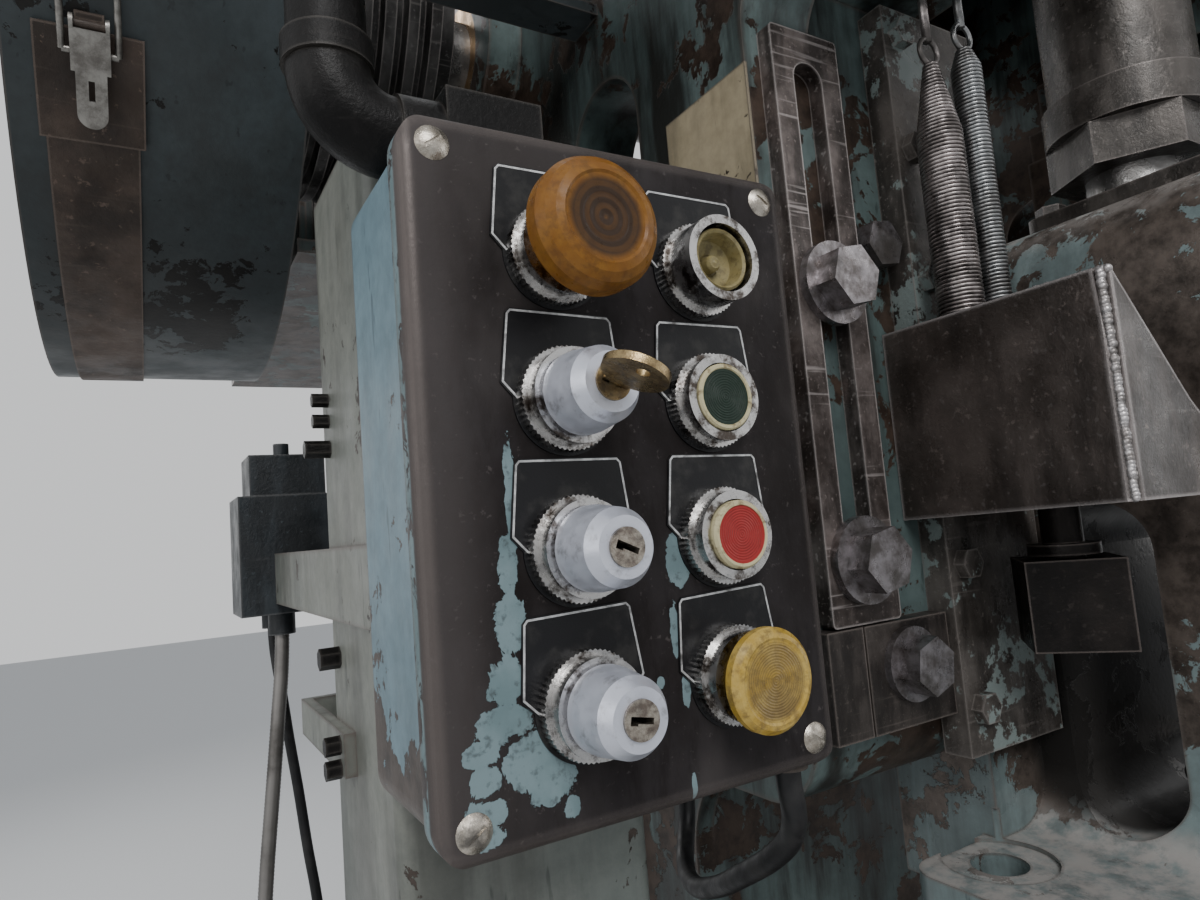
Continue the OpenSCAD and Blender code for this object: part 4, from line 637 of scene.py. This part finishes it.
def round_from(f, centre, inner, outer):
    """0 near an axis along Y and 1 past a radius."""
    node = f.tree.nodes.new("ShaderNodeVectorMath")
    node.operation = "LENGTH"
    f.tree.links.new(f.spread((1, 0, 1), centre), node.inputs[0])
    return f.ramp(node.outputs["Value"], inner, outer)


def button_plastic(name, column, row, colour, dark, worn, face=0.016, pitch=0.0012, groove=0.0002,
                   stain=0.5, rough=0.34):
    f = Finish(name, roughness=rough)
    centre = (operator_x[column], 0, operator_z[row])
    out = round_from(f, centre, face * 0.9, face)
    lines = f.times(circles(f, centre, pitch, 0.4), f.math("SUBTRACT", 1.0, out))
    body = f.either(f.ramp(f.noise(0.008, 5, shift=row), 0.35, 0.7), colour, worn)
    spots = f.ramp(f.noise(0.005, 7, 0.7, shift=row + 3), 0.46, 0.64, 0.0, stain)
    body = f.either(spots, body, dark)
    body = f.either(f.times(lines, 0.35), body, dark)
    f.put("Base Color", body)
    f.put("Specular IOR Level", 0.35)
    f.put("Roughness", f.ramp(f.noise(0.004, 5, shift=row + 5), 0.3, 0.7, rough - 0.08, rough + 0.2))
    f.bump(f.plus(f.times(lines, -0.8), f.times(f.noise(0.001, 3), 0.15)), groove)
    return f, body


amber_finish, amber_body = button_plastic("amber_plastic", 0, 0, (0.170, 0.070, 0.012),
                                          (0.035, 0.018, 0.010), (0.22, 0.100, 0.018), face=0.010,
                                          pitch=0.0034, stain=0.35)
amber_axis = (operator_x[0], 0, operator_z[0])
disc = amber_finish.math("SUBTRACT", 1.0, round_from(amber_finish, amber_axis, 0.0125, 0.0165))
dark_rings = amber_finish.ramp(circles(amber_finish, amber_axis, 0.0040, 1.2), 0.2, 0.75, 0.80, 0.99)
amber_face = amber_finish.ramp(amber_finish.facing("Y"), -0.80, -0.93)
amber_finish.put("Base Color", amber_finish.either(
    amber_finish.times(amber_finish.times(disc, dark_rings), amber_face), amber_body,
    (0.030, 0.017, 0.010)))
amber_finish.put("Specular IOR Level", 0.2)
dress(amber_finish, "amber_button")
yellow_finish, yellow_body = button_plastic("yellow_plastic", 1, 3, (0.37, 0.235, 0.034),
                                            (0.10, 0.062, 0.022), (0.46, 0.325, 0.09), face=0.0155,
                                            pitch=0.0011, stain=0.6)
yellow_axis = (operator_x[1], 0, operator_z[3])
handled = yellow_finish.math("SUBTRACT", 1.0, round_from(yellow_finish, yellow_axis, 0.0135, 0.0160))
handled = yellow_finish.times(handled, yellow_finish.ramp(yellow_finish.noise(0.012, 6, 0.7), 0.3, 0.62,
                                                          0.2, 0.75))
yellow_finish.put("Base Color", yellow_finish.either(handled, yellow_body, (0.13, 0.085, 0.030)))
dress(yellow_finish, "yellow_button")
cream_finish, _ = button_plastic("cream_plastic", 1, 0, (0.24, 0.195, 0.08), (0.05, 0.034, 0.017),
                                 (0.29, 0.25, 0.125), face=0.005, pitch=0.003, stain=0.55)
dress(cream_finish, "cream_button")


def ringed_button(name, column, row, colour, dark):
    """A coloured face inside a cream rim."""
    f, body = button_plastic(name, column, row, colour, dark, colour, face=0.0115, pitch=0.0011,
                             stain=0.25, rough=0.42)
    rim = round_from(f, (operator_x[column], 0, operator_z[row]), 0.01185, 0.0121)
    cream = f.either(f.ramp(f.noise(0.004, 5, shift=9), 0.48, 0.68), (0.50, 0.45, 0.27), (0.22, 0.17, 0.09))
    f.put("Base Color", f.either(rim, body, cream))
    return f


dress(ringed_button("green_plastic", 1, 1, (0.0030, 0.016, 0.008), (0.0025, 0.008, 0.0045)), "green_button")
dress(ringed_button("red_plastic", 1, 2, (0.295, 0.017, 0.015), (0.16, 0.012, 0.010)), "red_button")


# Key switches: satin anodised housings, plugs of nickel silver and a brass key left in the top one.
housing = Finish("housing_satin", metallic=0.6, roughness=0.42)
housing_dirt = housing.ramp(housing.noise(0.010, 6, 0.7), 0.54, 0.72, 0.0, 0.6)
housing.put("Base Color", housing.either(housing_dirt, (0.58, 0.60, 0.67), (0.17, 0.16, 0.16)))
housing.put("Roughness", housing.ramp(housing.noise(0.006, 5), 0.3, 0.7, 0.32, 0.52))
housing.bump(housing.noise(0.0012, 3), 0.00006)
dress(housing, "key_housings")
plug_finish = plated("plug_nickel", (0.42, 0.38, 0.32), (0.16, 0.13, 0.11), rough=0.3, size=0.004)
dress(plug_finish, "key_plug_middle", "key_plug_bottom")
brass = plated("key_brass", (0.36, 0.27, 0.14), (0.15, 0.105, 0.055), rough=0.28, size=0.006, shift=1.0)
dress(brass, "key_plug_top", "key")


# The slotted bar is scraped bare steel with brown sides. Its clamp plate is darker, and the bolts
# with their washers are zinc-grey steel, dark with oil.
bar_finish = oily_steel("bar_steel", (0.195, 0.163, 0.152), (0.056, 0.044, 0.039), size=0.03, rough=0.36,
                        scratch=0.5, edge_colour=(0.50, 0.45, 0.43), shift=15.0)
dress(bar_finish, "slotted_bar")
clamp_finish = oily_steel("clamp_steel", (0.062, 0.052, 0.046), (0.024, 0.019, 0.017), size=0.03,
                          rough=0.38, metal=0.3, edge_colour=(0.16, 0.135, 0.12), shift=17.0)
dress(clamp_finish, "clamp_plate")
bolt_finish = plated("bolt_zinc", (0.32, 0.30, 0.31), (0.13, 0.115, 0.11), rough=0.32, shift=4.0)
dress(bolt_finish, "bar_bolts", "bolster_bolts", "rod_bolts")
plate_cream = worn_paint("side_plate_paint", (0.36, 0.30, 0.19), (0.41, 0.345, 0.23),
                         (0.06, 0.045, 0.03), chip_size=0.008, chip_share=0.3, oil=0.35, shift=19.0)
dress(plate_cream, "side_plate")


# The stop bracket is welded from flame-cut plate, brown with oil. Its front corner is closed by a
# bright bead of weld, laid in short overlapping steps.
bracket_finish = oily_steel("bracket_steel", (0.090, 0.073, 0.065), (0.034, 0.027, 0.023), size=0.07,
                            rough=0.30, metal=0.35, scratch=0.12, edge=0.004,
                            edge_colour=(0.34, 0.31, 0.30), shift=21.0)
dress(bracket_finish, "stop_bracket")
weld_finish = plated("weld_bead", (0.46, 0.44, 0.44), (0.22, 0.20, 0.19), rough=0.3, size=0.006,
                     metal=0.7, shift=6.0)
bead_rng = random.Random(7)
bead_lines = [
    [Vector((-0.2465, -0.0845, 1.3235)), Vector((-0.2465, -0.0835, 1.4445))],
    [Vector((-0.2440, -0.0860, 1.4460)), Vector((-0.2440, -0.0330, 1.4455))],
]
bead_step = 0.0021
bead_drift = 0.0003
bead_mesh = bmesh.new()
for start, end in bead_lines:
    steps = round((end - start).length / bead_step)
    for i in range(steps + 1):
        spot = start.lerp(end, i / steps)
        drift = Vector([bead_rng.uniform(-bead_drift, bead_drift) for _ in range(3)])
        size = bead_rng.uniform(0.0023, 0.0030)
        bmesh.ops.create_icosphere(bead_mesh, subdivisions=2, radius=size,
                                   matrix=Matrix.Translation(spot + drift))
finished("weld_beads", bead_mesh, weld_finish, "frame")
block_finish = oily_steel("block_steel", (0.014, 0.011, 0.0095), (0.005, 0.004, 0.0035), size=0.04,
                          shine=0.2, rough=0.36, metal=0.3, scratch=0.1,
                          edge_colour=(0.12, 0.10, 0.09), shift=23.0)
dress(block_finish, "stop_block", "stop_stud")


# Two extension springs hold the stud up: a large dark one and a small zinc-plated one, close-wound
# from round wire, with a wire eye on a rod at the top.
spring_foot = 1.3535
spring_anchor = 1.690
spring_wire = 0.0013
eye_reach = 0.009
eye_wire = 0.0018
rod_gap = 0.016
rod_radius = 0.003


def coil(name, point, radius, high, neck, finish):
    per_turn = 20
    steps = int((high - spring_foot) / (2 * spring_wire)) * per_turn
    route = []
    for i in range(steps + 1):
        angle = 2 * math.pi * i / per_turn
        height = spring_foot + (high - spring_foot) * i / steps
        taper = max(0.0, height - (high - neck)) / neck * (radius - 0.005)
        reach = radius - spring_wire - taper
        route.append(Vector((point[0] + reach * math.cos(angle), point[1] + reach * math.sin(angle), height)))
    mesh = tube(route, lambda i: spring_wire * 0.98, 6)
    eye = bmesh.ops.create_circle(mesh, radius=eye_wire, segments=10)["verts"]
    bmesh.ops.translate(mesh, verts=eye, vec=(eye_reach, 0, 0))
    bmesh.ops.spin(mesh, geom=eye + list({e for v in eye for e in v.link_edges}), axis=(0, 1, 0),
                   cent=(0, 0, 0), angle=2 * math.pi, steps=24, use_merge=True)
    ring = [v for v in mesh.verts if v.co.length < 2 * eye_reach]
    bmesh.ops.translate(mesh, verts=ring, vec=(*point, high + eye_reach))
    rod = bmesh.ops.create_cone(mesh, cap_ends=True, segments=14, radius1=rod_radius,
                                radius2=rod_radius, depth=spring_anchor - high - rod_gap)["verts"]
    bmesh.ops.translate(mesh, verts=rod, vec=(*point, (spring_anchor + high + rod_gap) / 2))
    bmesh.ops.recalc_face_normals(mesh, faces=mesh.faces)
    piece = finished(name, mesh, finish)
    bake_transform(piece)
    return piece


spring_dark = plated("spring_dark", (0.42, 0.38, 0.37), (0.12, 0.105, 0.10), rough=0.3, size=0.02)
spring_zinc = plated("spring_zinc", (0.32, 0.33, 0.335), (0.16, 0.156, 0.152), rough=0.3, size=0.02,
                     shift=1.0, dirt_share=0.35)
large_coil = coil("large_coil", (-0.228, 0.011), 0.0147, 1.621, 0.050, spring_dark)
coil("small_coil", (-0.199, 0.0045), 0.0100, 1.635, 0.014, spring_zinc)
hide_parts("springs")


# The slide is a casting in the same enamel, nearly all of it under brown oil. Its flange has kept
# more of the paint, faces that look up are paler with painted light from above and some wiped paint, and the
# recess in its front is painted black as shade.
def flange_paint(f):
    return f.times(f.ramp(f.axis("Z"), 1.16, 1.09), -0.045)


f = slide_finish = worn_paint("slide_enamel", (0.15, 0.19, 0.19), (0.21, 0.27, 0.27), (0.150, 0.122, 0.104),
                              chip_size=0.03, chip_share=0.80, oil=0.40, edge=0.004, shift=25.0,
                              gloss=0.30, patch=flange_paint)
# Faces that look up are mixed towards a paler colour: painted light from above, with some wiped paint.
lit_from_above_and_wiped = f.times(f.ramp(f.facing("Z"), 0.4, 0.9),
                 f.ramp(f.noise(0.02, 6, 0.7, shift=33.0), 0.35, 0.60, 0.1, 0.75))
# The recess in the front is painted near black and given less shine: painted shade.
recess_painted_shade = f.near((-0.055, 0.03, 1.180), (0.105, 0.085, 0.19), 0.8)
colour = f.shader.inputs["Base Color"].links[0].from_socket
colour = f.either(lit_from_above_and_wiped, colour, (0.40, 0.365, 0.34))
f.put("Base Color", f.either(recess_painted_shade, colour, (0.034, 0.032, 0.030)))
f.put("Specular IOR Level", f.between(recess_painted_shade, 0.4, 0.05))
dress(slide_finish, "slide")
iron_finish = oily_steel("oily_iron", (0.095, 0.084, 0.076), (0.032, 0.028, 0.024), size=0.06, rough=0.28,
                         metal=0.4, edge_colour=(0.16, 0.14, 0.13), shift=27.0)
dress(iron_finish, "connecting_rod", "rod_cap", "ball_cap", "lock_nut", "shank_screw")
# The gibs and their screws get a lighter iron than the rod and caps, as painted fill light for their shaded
# place under the bracket. The teal is real paint left on them.
gib_finish = oily_steel("gib_iron_painted_fill", (0.130, 0.115, 0.104), (0.042, 0.036, 0.031), size=0.05, rough=0.30,
                        metal=0.2, teal=(0.18, 0.215, 0.205), teal_share=0.37,
                        edge_colour=(0.20, 0.18, 0.165), shift=33.0)
dress(gib_finish, "gib_left", "gib_right", "gib_screws")


# Shafts and gears are machined steel, bright under a film of oil. The wheels are dark cast iron and
# the bushes bronze.
machined = oily_steel("machined_steel", (0.36, 0.35, 0.34), (0.20, 0.19, 0.18), size=0.08, rough=0.26,
                      metal=0.8, edge_colour=(0.6, 0.58, 0.56), shift=29.0)
dress(machined, "crankshaft", "adjusting_screw", "back_shaft", "pinion", "bolster_plate")
cast_finish = oily_steel("cast_wheels", (0.075, 0.072, 0.070), (0.028, 0.026, 0.025), size=0.06, rough=0.4,
                         metal=0.5, edge_colour=(0.22, 0.20, 0.19), shift=31.0)
dress(cast_finish, "bull_gear", "clutch_drum", "flywheel", "motor_pulley")
bronze = plated("bush_bronze", (0.42, 0.26, 0.11), (0.26, 0.15, 0.06), rough=0.3, size=0.03)
dress(bronze, "bronze_bushes")
dress(rubber, "v_belts")
